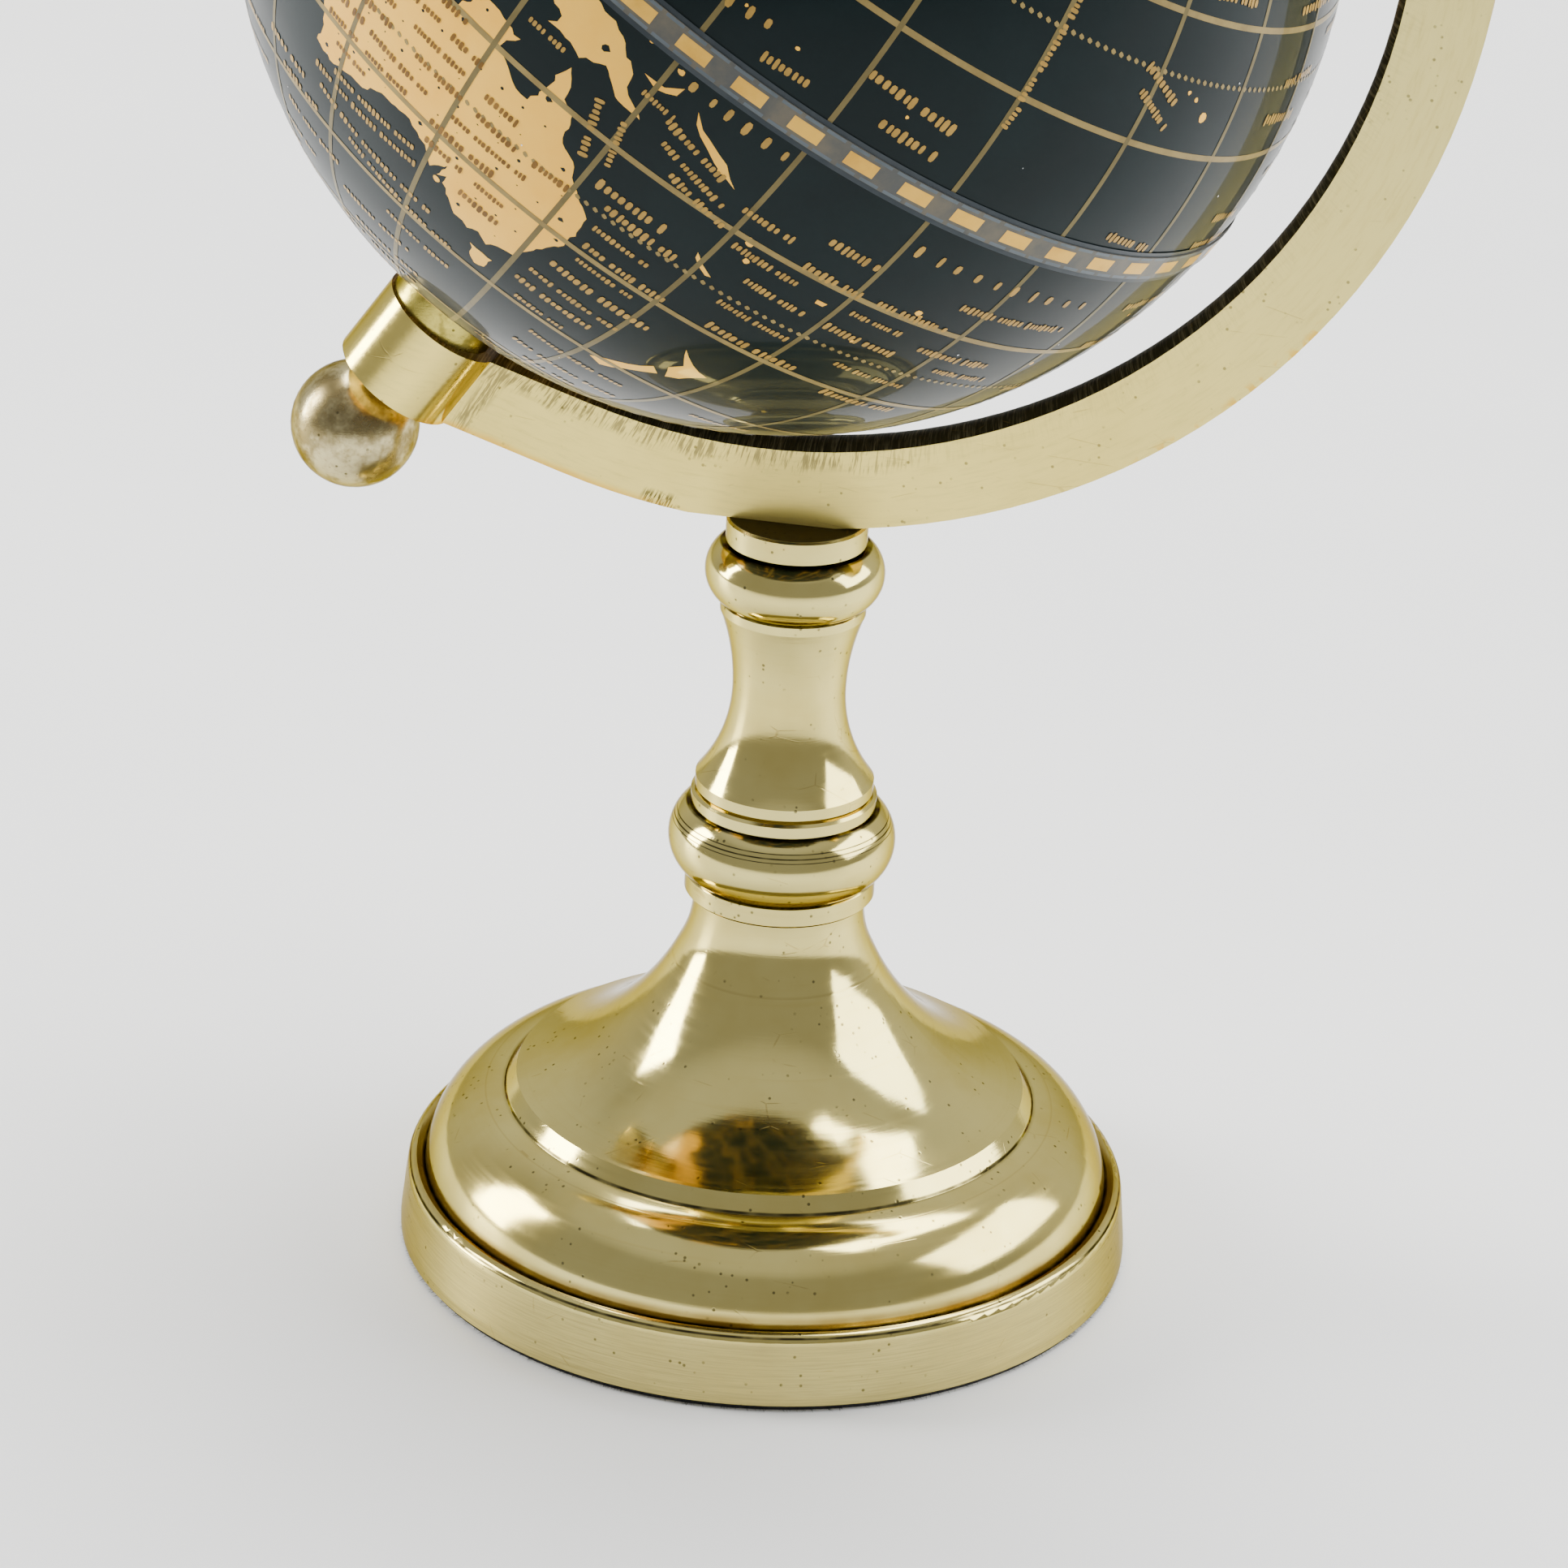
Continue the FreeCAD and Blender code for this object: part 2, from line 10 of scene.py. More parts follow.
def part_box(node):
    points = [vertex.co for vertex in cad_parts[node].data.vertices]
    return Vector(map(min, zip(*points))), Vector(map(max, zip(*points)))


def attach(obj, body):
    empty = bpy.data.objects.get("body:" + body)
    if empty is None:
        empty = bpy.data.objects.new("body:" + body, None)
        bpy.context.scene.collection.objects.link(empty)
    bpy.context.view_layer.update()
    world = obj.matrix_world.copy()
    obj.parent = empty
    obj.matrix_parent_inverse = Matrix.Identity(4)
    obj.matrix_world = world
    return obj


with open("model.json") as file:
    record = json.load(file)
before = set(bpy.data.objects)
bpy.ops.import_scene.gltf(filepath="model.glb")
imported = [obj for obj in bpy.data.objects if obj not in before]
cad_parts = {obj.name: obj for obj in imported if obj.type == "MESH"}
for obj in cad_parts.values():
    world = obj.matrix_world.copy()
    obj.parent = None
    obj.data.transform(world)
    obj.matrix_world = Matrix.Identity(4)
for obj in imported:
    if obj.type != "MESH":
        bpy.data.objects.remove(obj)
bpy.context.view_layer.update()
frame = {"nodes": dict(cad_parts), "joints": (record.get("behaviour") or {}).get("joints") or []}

# ---------------- places and sizes, metres

MM = 0.001
spin = frame["joints"][0]
BALL_CENTRE = Vector(spin["pos_m"])
POLE = Vector(spin["axis"]).normalized()
shell_low, shell_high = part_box("globe_shell_north")
BALL_RADIUS = (shell_high.y - shell_low.y) / 2
FRONT = Vector((0, -1, 0))
EAST = POLE.cross(FRONT).normalized()

PRINT_LIFT = 0.035 * MM
LINE_LIFT = 0.055 * MM
LAKE_LIFT = 0.075 * MM
LABEL_LIFT = 0.095 * MM

# The arm's circle lies a little off the ball's centre, and its ends run straight into the bosses.
ARM_INNER = 84.9 * MM
ARM_OUTER = 96.4 * MM
ARM_STRAIGHT = 17.0
CREASE = 12.6 * MM
NICK_TURN = 25.5
SEAT_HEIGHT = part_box("top_collar")[1].z
ARM_CENTRE = BALL_CENTRE - EAST * 0.9 * MM + POLE * 2.25 * MM

MAP_TURN = 148.8            # longitude that faces the front at rest
MAP_SQUEEZE = 0.89          # printed latitude over true latitude near the equator

# The camera stands in front and above, turned a little and rolled a little.
EYE = Vector((0.1341, -0.8016, 0.4446))
LOOK_DOWN = 24.55
LOOK_LEFT = 9.5
ROLL = 2.88
LENS = 141.6


def on_ball(longitude, latitude, lift=0.0):
    """Point of the printed map, from true longitude and latitude in degrees."""
    share = abs(latitude) / 90
    lat = math.radians(latitude * (MAP_SQUEEZE + (1 - MAP_SQUEEZE) * share ** 2))
    lon = math.radians(longitude - MAP_TURN)
    around = FRONT * math.cos(lon) + EAST * math.sin(lon)
    return BALL_CENTRE + (around * math.cos(lat) + POLE * math.sin(lat)) * (BALL_RADIUS + lift)


# ---------------- coastlines, longitude and latitude

def number_rows(text):
    """Rows of numbers from a text with a comma between rows."""
    return [tuple(float(word) for word in part.split()) for part in text.split(",")]


def outlines(texts):
    return {name: number_rows(text) for name, text in texts.items()}


LANDS = outlines({
    "australia": """
    142.5 -10.7, 143.6 -12.6, 143.8 -14.3, 145.3 -15, 145.9 -16.9, 146.3 -18.9, 148.3 -20, 149.6 -22.2,
    150.8 -23.4, 153.1 -25.3, 153.5 -28.4, 152.9 -31.4, 151.2 -34, 150 -37.4, 147.6 -38, 146.4 -39.1,
    144.8 -38.1, 143.4 -38.9, 140.6 -38, 139.6 -36.9, 138.1 -35.6, 138.2 -34.3, 137 -35.2, 137.7 -32.8,
    135.8 -34.9, 134.2 -32.8, 131.2 -31.5, 128.9 -31.7, 126 -32.3, 123.9 -33.8, 121.9 -33.9, 118 -35.1,
    115.1 -34.4, 115.7 -31.8, 114.6 -28.8, 113.4 -26.1, 113.8 -22.6, 116.8 -20.6, 119 -20, 121.5 -19,
    122.3 -17.2, 123.5 -17.2, 124.6 -15.3, 126.9 -13.8, 128.3 -14.9, 129.7 -14.8, 130.8 -12.4, 132.7 -11.4,
    135.6 -12, 136.9 -12.3, 135.8 -13.6, 135.5 -15, 137.6 -16.1, 139.3 -17.4, 140.9 -17.5, 141.6 -15,
    141.7 -12.7""",
    "tasmania": "144.7 -40.8, 148.2 -40.9, 147.9 -43, 146.6 -43.6, 145.4 -42.6",
    "new_guinea": """
    131 -0.8, 134 -0.8, 135 -3.3, 137.8 -1.6, 141 -2.6, 144.6 -3.9, 147 -6, 147.8 -8.2, 150.7 -10.4,
    147.5 -10, 145 -7.8, 142.5 -9.2, 139.5 -8.2, 138 -8.3, 138.8 -6.8, 135 -4.4, 132.8 -4, 132 -2.7""",
    "new_britain": "148.3 -5.6, 150.6 -5.5, 152.2 -4.2, 152 -5.4, 150 -6.3",
    "solomons": "154.6 -5.4, 156 -6.8, 160 -8.6, 162.2 -10.6, 160 -9.8, 156.2 -7.6",
    "new_caledonia": "164 -20.1, 167 -22.2, 166.4 -22.4, 164.2 -20.9",
    "north_island": """
    172.7 -34.5, 175.4 -36.6, 178.4 -37.7, 177 -39.6, 175.2 -41.5, 173.9 -39.3, 174.8 -37.6""",
    "south_island": "172.7 -40.6, 174.2 -41.7, 171.2 -44.4, 168.8 -46.6, 166.6 -45.8, 170.6 -43",
    "fiji": "177.3 -17.6, 178.6 -17.6, 178.4 -18.2, 177.4 -18.2",
    "timor": "123.6 -10.3, 127.2 -8.4, 125 -9.6",
    "java": "105.2 -6.8, 108.5 -6.6, 112.6 -6.9, 114.5 -8.6, 110 -8.2, 106.5 -7.4",
    "sumatra": "95.3 5.6, 98 4.3, 101.5 1.8, 104 -1.2, 105.9 -5.8, 102.3 -4, 99 -0.4",
    "borneo": """
    109.1 1.6, 111.3 2.6, 113.5 3.4, 116.8 7, 119.2 5.1, 117.8 1.2, 116.2 -3.8, 113 -3.2, 110.2 -2.9,
    109.2 -0.4""",
    "sulawesi": """
    119.6 0.8, 121 1.3, 125.1 1.5, 123.4 0.3, 120.4 0.5, 121 -1, 123.3 -0.8, 121.6 -2.2, 122.6 -4.8,
    120.9 -2.8, 120.3 -5.4, 119.5 -4""",
    "halmahera": "127.5 1.8, 128.7 1.2, 128.1 -0.6, 127.8 0.6",
    "luzon": "120.5 18.4, 122.2 18.4, 121.6 15.8, 124 12.8, 121.6 13.8, 120 15.6",
    "mindanao": "122.2 7.4, 125.4 9.7, 126.5 7.2, 125.4 5.8, 123.9 7.6",
    "taiwan": "120.2 23.2, 121.8 25.1, 120.9 22",
    "honshu": """
    131 34.1, 133.2 35.5, 136 35.8, 137.2 37.3, 139.6 38.4, 140.4 41, 141.9 39.6, 140.9 36.4, 139.4 35,
    136.8 34.3, 135.2 33.7, 132.8 34.1""",
    "kyushu": "129.8 33.2, 131.8 33.4, 131.2 31.3, 130.2 31.4",
    "hokkaido": "140.2 41.6, 141.6 45.4, 145.2 43.4, 143 42",
    "sakhalin": "142 46.2, 142.2 53.8, 143.3 51.4, 143.4 46.8",
    "ceylon": "79.9 9.6, 81.7 7.2, 80.4 6, 79.8 7.6",
    "hainan": "108.8 19.4, 110.9 20, 109.8 18.3",
    "madagascar": "49.3 -12.1, 50.4 -15.6, 47.2 -24.8, 44.2 -24.6, 43.6 -21.6, 44.5 -16.4",
    "eurasia": """
    -8.9 37.1, -9.3 43.1, -1.6 43.5, -1.2 46, -4.7 48.5, 1.8 50.8, 4.4 52.4, 8.6 53.8, 8.2 57, 10.6 57.7,
    9.9 55, 12.2 54.1, 18.6 54.6, 21.2 56.8, 24.2 57.2, 23.6 59.2, 30 59.8, 23 60, 21.4 63, 25.3 65.1,
    22 65.6, 17.2 61.2, 18.4 59.6, 16.4 56.4, 12.8 55.6, 10.8 59, 7.6 58.1, 5.1 60.6, 8.2 63.6, 14.2 67.4,
    21.6 70.2, 28.6 71, 40.6 67.6, 33 66.6, 40.4 64.6, 44.4 66.4, 46.4 68.2, 54.4 68.4, 66.6 69, 70 73,
    80.6 73.6, 98 76, 105 77.6, 113.4 73.8, 127.4 73.4, 140.4 72.6, 160.4 69.8, 178 69.2, 190 66.2,
    179.2 62.6, 170.4 60, 163.2 58.6, 161.8 55.4, 156.8 51.2, 155.8 56.8, 163.6 62, 155 59.4, 143.4 59.2,
    136 54.8, 141.2 52.2, 138.4 46.8, 132.2 43.2, 129.6 41, 127.6 39.4, 129.4 36.4, 126.6 34.6, 125.2 38.6,
    121.4 39.4, 118 39, 122.4 37.2, 119.4 35, 121.8 31.4, 120.2 26.8, 114.4 22.6, 108.4 21.6, 105.8 18.8,
    109.2 13.4, 106.6 10.4, 104.8 8.7, 102.4 12, 100.4 13.4, 99.2 9.4, 103.2 4.4, 103.8 1.4, 100.6 4.6,
    98.4 8.4, 98 14.8, 95.2 15.8, 94.2 18.8, 91.4 22.6, 88 21.6, 82.2 16.6, 80.2 13.6, 79.4 10.2, 77.5 8.1,
    74.6 13.6, 72.8 19.4, 72.4 21.4, 69 22.3, 66.6 25.2, 61.4 25.1, 57.2 26.9, 51.4 27.9, 48.8 30.4,
    50.2 26.4, 51.6 24.4, 56.2 26.2, 59.8 22.4, 55.2 17.4, 45 12.8, 43.2 13, 39 21.2, 34.9 28, 34.4 31.4,
    36 36.2, 30.6 36.8, 27.2 37, 26.2 39.6, 29 41.1, 35 42, 41.4 41.4, 37.6 44.9, 39.2 47.2, 34.8 46.2,
    33.4 44.5, 30.8 46.4, 28 43.4, 26 40.8, 23.4 40.4, 23 36.6, 19.4 41.4, 13.8 45.1, 12.6 44, 18.3 40,
    16.2 38, 12.4 41.6, 8.8 44.3, 3.4 43.3, 0.2 39.6, -2.2 36.8, -5.6 36.1""",
    "britain": "-5.4 50.1, 1.3 51.2, 0.2 53.2, -2 56, -3.2 58.6, -5.8 57.2, -3.2 54.6, -4.6 52",
    "ireland": "-9.8 51.6, -6.3 52.2, -6 54.4, -8.2 55.2, -9.8 53.6",
    "iceland": "-22.6 63.9, -18.2 63.4, -13.8 64.8, -16.2 66.4, -22.4 66.2",
    "svalbard": "12 79.4, 21 80.2, 18.4 77",
    "novaya_zemlya": "52.2 71.2, 57.4 74.6, 68 76.8, 57.8 71",
    "africa": """
    -5.9 35.8, 3 36.8, 10.6 37.2, 11 33.6, 15.6 32, 20.2 31.6, 25 31.6, 32.2 31.2, 33.8 27.2, 37 21,
    39.6 15.4, 43.2 11.6, 51.2 11.8, 47.4 4.6, 41.6 -1.8, 39.2 -6.6, 40.6 -14.8, 35.2 -19.8, 35.4 -24,
    32.6 -26.4, 30.4 -31, 25.6 -34, 19.8 -34.8, 18.2 -32.4, 15.2 -26.8, 12 -18.2, 13.6 -12.2, 12.2 -5.8,
    9.2 -0.4, 9.6 3.8, 6 4.3, 1.2 6.1, -7.6 4.4, -13.2 8.8, -17.3 14.7, -16.2 19.2, -16.9 22.2, -12.8 27.8,
    -9.6 30.4""",
    "greenland": """
    -73 78.2, -61 82.2, -32 83.5, -18 80, -22 72.6, -32 68.2, -43.4 60.2, -51.4 64.2, -54 70, -60 76""",
    "north_america": """
    -168 65.6, -161.6 66.4, -166.4 68.4, -156.6 71.2, -141 69.6, -128 70.4, -115 68.6, -108 67.8,
    -95.4 71.6, -90 69.2, -81.6 69, -87 64.8, -94.4 61, -92.4 57, -82.4 55.2, -79 51.6, -77.2 57.6,
    -77.6 62.4, -66 58.8, -61.8 56.6, -56 52.4, -66.4 50.2, -65 47, -60.2 46.2, -66 43.6, -70.6 42.6,
    -74 40.4, -76 36.6, -81.2 31.6, -80.2 25.4, -82.8 28.8, -89.6 29.4, -97.2 27.6, -97.6 22.4, -94.6 18.2,
    -90.6 20.4, -87.2 21.4, -88.4 16.2, -83.6 15.2, -83.4 10.8, -79.6 9.4, -77.6 8.4, -80.4 7.4, -85.6 10.2,
    -92.2 14.6, -101 17.4, -105.6 20.4, -109.4 25.8, -113 31.2, -114.4 30.4, -110 23.2, -114.8 28.2,
    -117.4 33.2, -121.6 36.6, -124.2 40.6, -124.2 46.6, -123 49, -130.4 54.6, -138 59.2, -148.2 60.4,
    -153 58.6, -164.6 54.8, -157.6 58.6, -165.6 61.8, -161.4 64.4""",
    "baffin": "-90 73.2, -80 73.6, -68 69.6, -62.4 66.4, -66 62.4, -73.6 64.8, -73.2 68.6",
    "ellesmere": "-90 77, -88 81, -66 82.8, -76 78.8, -80 76.4",
    "victoria_island": "-117 73, -105.4 72.6, -102.4 69.2, -115.6 69.4",
    "newfoundland": "-59.2 47.8, -55.6 51.4, -52.8 47.4",
    "cuba": "-84.8 22, -80.2 23.1, -74.4 20.2, -77.6 20",
    "hispaniola": "-74.2 18.4, -72.8 19.8, -68.6 18.5",
    "south_america": """
    -77.2 8.4, -71.6 12.2, -62 10.6, -52 4.6, -50.2 0.4, -44.4 -2.6, -35.2 -5.6, -35 -8.8, -39 -13.4,
    -39.6 -19, -43 -22.9, -48.4 -26.2, -52.4 -32.8, -58.4 -34.2, -57.6 -38, -62.2 -39, -65 -42.6, -67.4 -46,
    -65.8 -48, -69 -51.6, -68.2 -54.8, -74.4 -52.4, -75.4 -47, -73.4 -40.2, -71.6 -31.2, -70.2 -20,
    -76 -14.6, -81.2 -5.8, -79.8 -2.4, -80.2 0.6, -77.4 4""",
    "falklands": "-61 -51.4, -57.8 -51.6, -59.6 -52.3",
    "antarctica": """
    -178 -78.4, -158 -77.2, -136 -74.6, -112 -74.2, -98 -72.4, -76 -73.2, -66 -66.6, -57.4 -63.4, -62 -70,
    -60 -75, -36 -77.8, -22 -74, -8 -70.8, 14 -70, 34 -68.6, 56 -66.2, 72 -69.6, 90 -66.4, 112 -66,
    136 -66.2, 158 -69.4, 170 -72.4, 166 -77.6""",
})

LAKES = outlines({
    "caspian": "47.2 45.2, 53.2 46.8, 53 41.4, 53.8 37.2, 49.6 37.6, 49.2 41.2",
    "baltic_lakes": "30.8 61.6, 33 60.8, 35.4 62, 33 61.8",
    "victoria": "31.8 -0.4, 34 -0.2, 33 -2.6",
    "great_lakes": "-92 46.8, -85 46.8, -82 45.2, -79.6 43.8, -83 42, -84.4 45.8, -87.4 42.4",
    "aral": "58.4 45.2, 61.2 46.4, 60.4 43.8",
    "winnipeg": "-99 51.4, -98.4 53.8, -96.6 51.4",
    "baikal": "104 51.6, 109.6 55.6, 108.4 53.2",
})

# Small islands, as longitude, latitude and size in degrees.
ISLETS = number_rows("""
    167.2 -15.4 0.9, 168.3 -17.7 0.7, 166.9 -14.9 0.6, -172.4 -13.6 0.8, -171.8 -14 0.5, -175.2 -21.1 0.5,
    -149.5 -17.6 0.7, -159.8 -21.2 0.4, -155.5 19.6 1.1, -157.9 21.4 0.6, -159.5 22 0.5, 158.2 6.9 0.5,
    151.8 7.4 0.4, 144.8 13.5 0.5, 134.5 7.5 0.5, 171 7.1 0.4, 173 1.4 0.4, -140.1 -8.9 0.5,
    -109.4 -27.1 0.5, -90.5 -0.6 0.9, 57.5 -20.2 0.6, 55.5 -21.1 0.5, 73.5 4 0.4, 70 -49.3 1, -17 28.2 0.8,
    -25.5 37.8 0.6, -24 16 0.6, -36.5 -54.4 1, -66.2 18.2 0.8, -77.3 18.1 0.8, 9.1 42.2 0.8, 9 40 1.1,
    14.2 37.5 1.2, 24.9 35.2 0.9, 33.2 35 0.9, 124 10.6 0.9, 122.5 10.8 0.8, 125 11.8 0.9, 118.5 9.9 0.9,
    119 -8.6 1, 121.6 -8.7 1.1, 116.4 -8.6 0.7, 130 -3.2 1, 126.6 -3.4 0.8, 134.4 -6.2 0.8, 130.6 -11.6 0.7,
    137.2 -35.8 0.8, 150.9 -2.9 0.7, 147 -2.1 0.6, 159.9 -9.6 0.8""")


# ---------------- mesh helpers

def new_object(name, points, faces, material, body=None, smooth=True, normals=None):
    mesh = bpy.data.meshes.new(name)
    mesh.from_pydata([tuple(p) for p in points], [], faces)
    mesh.materials.append(material)
    if smooth:
        mesh.polygons.foreach_set("use_smooth", [True] * len(mesh.polygons))
    if normals is not None:
        mesh.normals_split_custom_set_from_vertices([tuple(n) for n in normals])
    mesh.update()
    piece = bpy.data.objects.new(name, mesh)
    bpy.context.scene.collection.objects.link(piece)
    if body:
        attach(piece, body)
    return piece


def merge(patches):
    points = []
    faces = []
    for some_points, some_faces in patches:
        base = len(points)
        points += some_points
        faces += [[base + i for i in face] for face in some_faces]
    return points, faces


def ball_piece(name, patches, material):
    """Thin printed piece on the ball, joined from patches and shaded as part of the round surface."""
    points, faces = merge(patches)
    normals = [(p - BALL_CENTRE).normalized() for p in points]
    piece = new_object(name, points, faces, material, "globe", True, normals)


# ---------------- materials

class Nodes:
    """Short names for the shader nodes used below."""

    def __init__(self, tree):
        self.tree = tree

    def add(self, kind, **settings):
        made = self.tree.nodes.new(kind)
        for key, value in settings.items():
            setattr(made, key, value)
        return made

    def link(self, source, target):
        self.tree.links.new(source, target)

    def feed(self, target, value):
        if isinstance(value, (int, float)):
            target.default_value = value
        elif isinstance(value, (tuple, list)):
            target.default_value = tuple(value) + (1.0,) * (len(target.default_value) - len(value))
        else:
            self.link(value, target)

    def position(self):
        return self.add("ShaderNodeTexCoord").outputs["Object"]

    def math(self, operation, first, second=0.0):
        made = self.add("ShaderNodeMath", operation=operation)
        self.feed(made.inputs[0], first)
        self.feed(made.inputs[1], second)
        return made.outputs[0]

    def times(self, first, second):
        return self.math("MULTIPLY", first, second)

    def plus(self, first, second):
        return self.math("ADD", first, second)

    def minus(self, first, second):
        return self.math("SUBTRACT", first, second)

    def apart(self, first, second):
        return self.math("ABSOLUTE", self.minus(first, second))

    def larger(self, first, second):
        return self.math("MAXIMUM", first, second)

    def vector(self, operation, first, second=(0, 0, 0)):
        made = self.add("ShaderNodeVectorMath", operation=operation)
        self.feed(made.inputs[0], first)
        self.feed(made.inputs[1], second)
        gives_number = operation in ("LENGTH", "DOT_PRODUCT", "DISTANCE")
        return made.outputs["Value" if gives_number else "Vector"]

    def split(self, vector):
        made = self.add("ShaderNodeSeparateXYZ")
        self.link(vector, made.inputs[0])
        return made.outputs

    def join(self, x, y, z):
        made = self.add("ShaderNodeCombineXYZ")
        for socket, value in zip(made.inputs, (x, y, z)):
            self.feed(socket, value)
        return made.outputs[0]

    def noise(self, vector, scale, detail=2.0, rough=0.5):
        made = self.add("ShaderNodeTexNoise")
        self.link(vector, made.inputs["Vector"])
        made.inputs["Scale"].default_value = scale
        made.inputs["Detail"].default_value = detail
        made.inputs["Roughness"].default_value = rough
        return made.outputs["Fac"]

    def cells(self, vector, scale, feature="F1"):
        made = self.add("ShaderNodeTexVoronoi", feature=feature)
        self.link(vector, made.inputs["Vector"])
        made.inputs["Scale"].default_value = scale
        return made.outputs["Distance"]

    def ramp(self, value, low, high, start=0.0, end=1.0):
        """Map value from low..high to start..end, held at the ends, with soft shoulders."""
        made = self.add("ShaderNodeMapRange", interpolation_type="SMOOTHSTEP")
        self.feed(made.inputs["Value"], value)
        made.inputs["From Min"].default_value = low
        made.inputs["From Max"].default_value = high
        made.inputs["To Min"].default_value = start
        made.inputs["To Max"].default_value = end
        return made.outputs[0]

    def fall(self, value, low, high):
        """One below low, nothing above high."""
        return self.ramp(value, low, high, 1.0, 0.0)

    def mix(self, share, first, second):
        made = self.add("ShaderNodeMix", data_type="RGBA")
        self.feed(made.inputs[0], share)
        self.feed(made.inputs[6], first)
        self.feed(made.inputs[7], second)
        return made.outputs[2]

    def tint(self, base, colour, mask, amount):
        """Base colour moved towards another one by part of a mask."""
        return self.mix(self.times(mask, amount), base, colour)

    def bump(self, height, strength, distance):
        made = self.add("ShaderNodeBump")
        self.feed(made.inputs["Height"], height)
        made.inputs["Strength"].default_value = strength
        made.inputs["Distance"].default_value = distance
        return made.outputs[0]


def new_material(name):
    """Material, its shader, its nodes and the place on the part that they start from."""
    material = bpy.data.materials.new(name)
    material.use_nodes = True
    n = Nodes(material.node_tree)
    return material, material.node_tree.nodes["Principled BSDF"], n, n.position()


def fix(shader, **values):
    """Set sockets of a shader to constants: words joined by _ name the socket."""
    for words, value in values.items():
        shader.inputs[words.replace("_", " ")].default_value = value


# Colours of the metal: turned brass, then the arm. The last is the tint of grazing reflections.
BRASS_PALE = (0.66, 0.57, 0.205)
BRASS_WARM = (0.56, 0.455, 0.135)
BRASS_SATIN = (0.44, 0.365, 0.135)
BRASS_BROWN = (0.28, 0.185, 0.040)
BRASS_DARK = (0.045, 0.036, 0.012)
ARM_PALE = (0.80, 0.655, 0.185)
ARM_WARM = (0.72, 0.575, 0.155)
FILE_MARK = (0.095, 0.083, 0.050)
ARM_FAR = (0.70, 0.61, 0.235)
LACQUER = (0.74, 0.42, 0.03)
GRAZING_TINT = (0.42, 0.36, 0.22, 1.0)


def finish_metal(n, shader, base, rough, relief, strength, coat=0):
    n.link(base, shader.inputs["Base Color"])
    n.link(rough, shader.inputs["Roughness"])
    n.link(n.bump(relief, strength, 0.1 * MM), shader.inputs["Normal"])
    fix(shader, Metallic=1, Coat_Weight=coat, Specular_Tint=GRAZING_TINT, Coat_Roughness=0.06)


def flaws(n, place):
    """Small pits and short hairlines, as two masks from 0 to 1."""
    dots = n.fall(n.cells(place, 640), 0.10, 0.19)
    pits = n.times(dots, n.ramp(n.noise(place, 190, 2), 0.50, 0.60))
    slanted = n.vector("MULTIPLY", n.vector("ADD", place, (0.013, 0.02, 0.031)), (0.35, 0.9, 1))
    cracks = n.fall(n.cells(slanted, 170, "DISTANCE_TO_EDGE"), 0.004, 0.012)
    hairs = n.times(cracks, n.ramp(n.noise(place, 150, 3), 0.56, 0.64))
    return pits, hairs


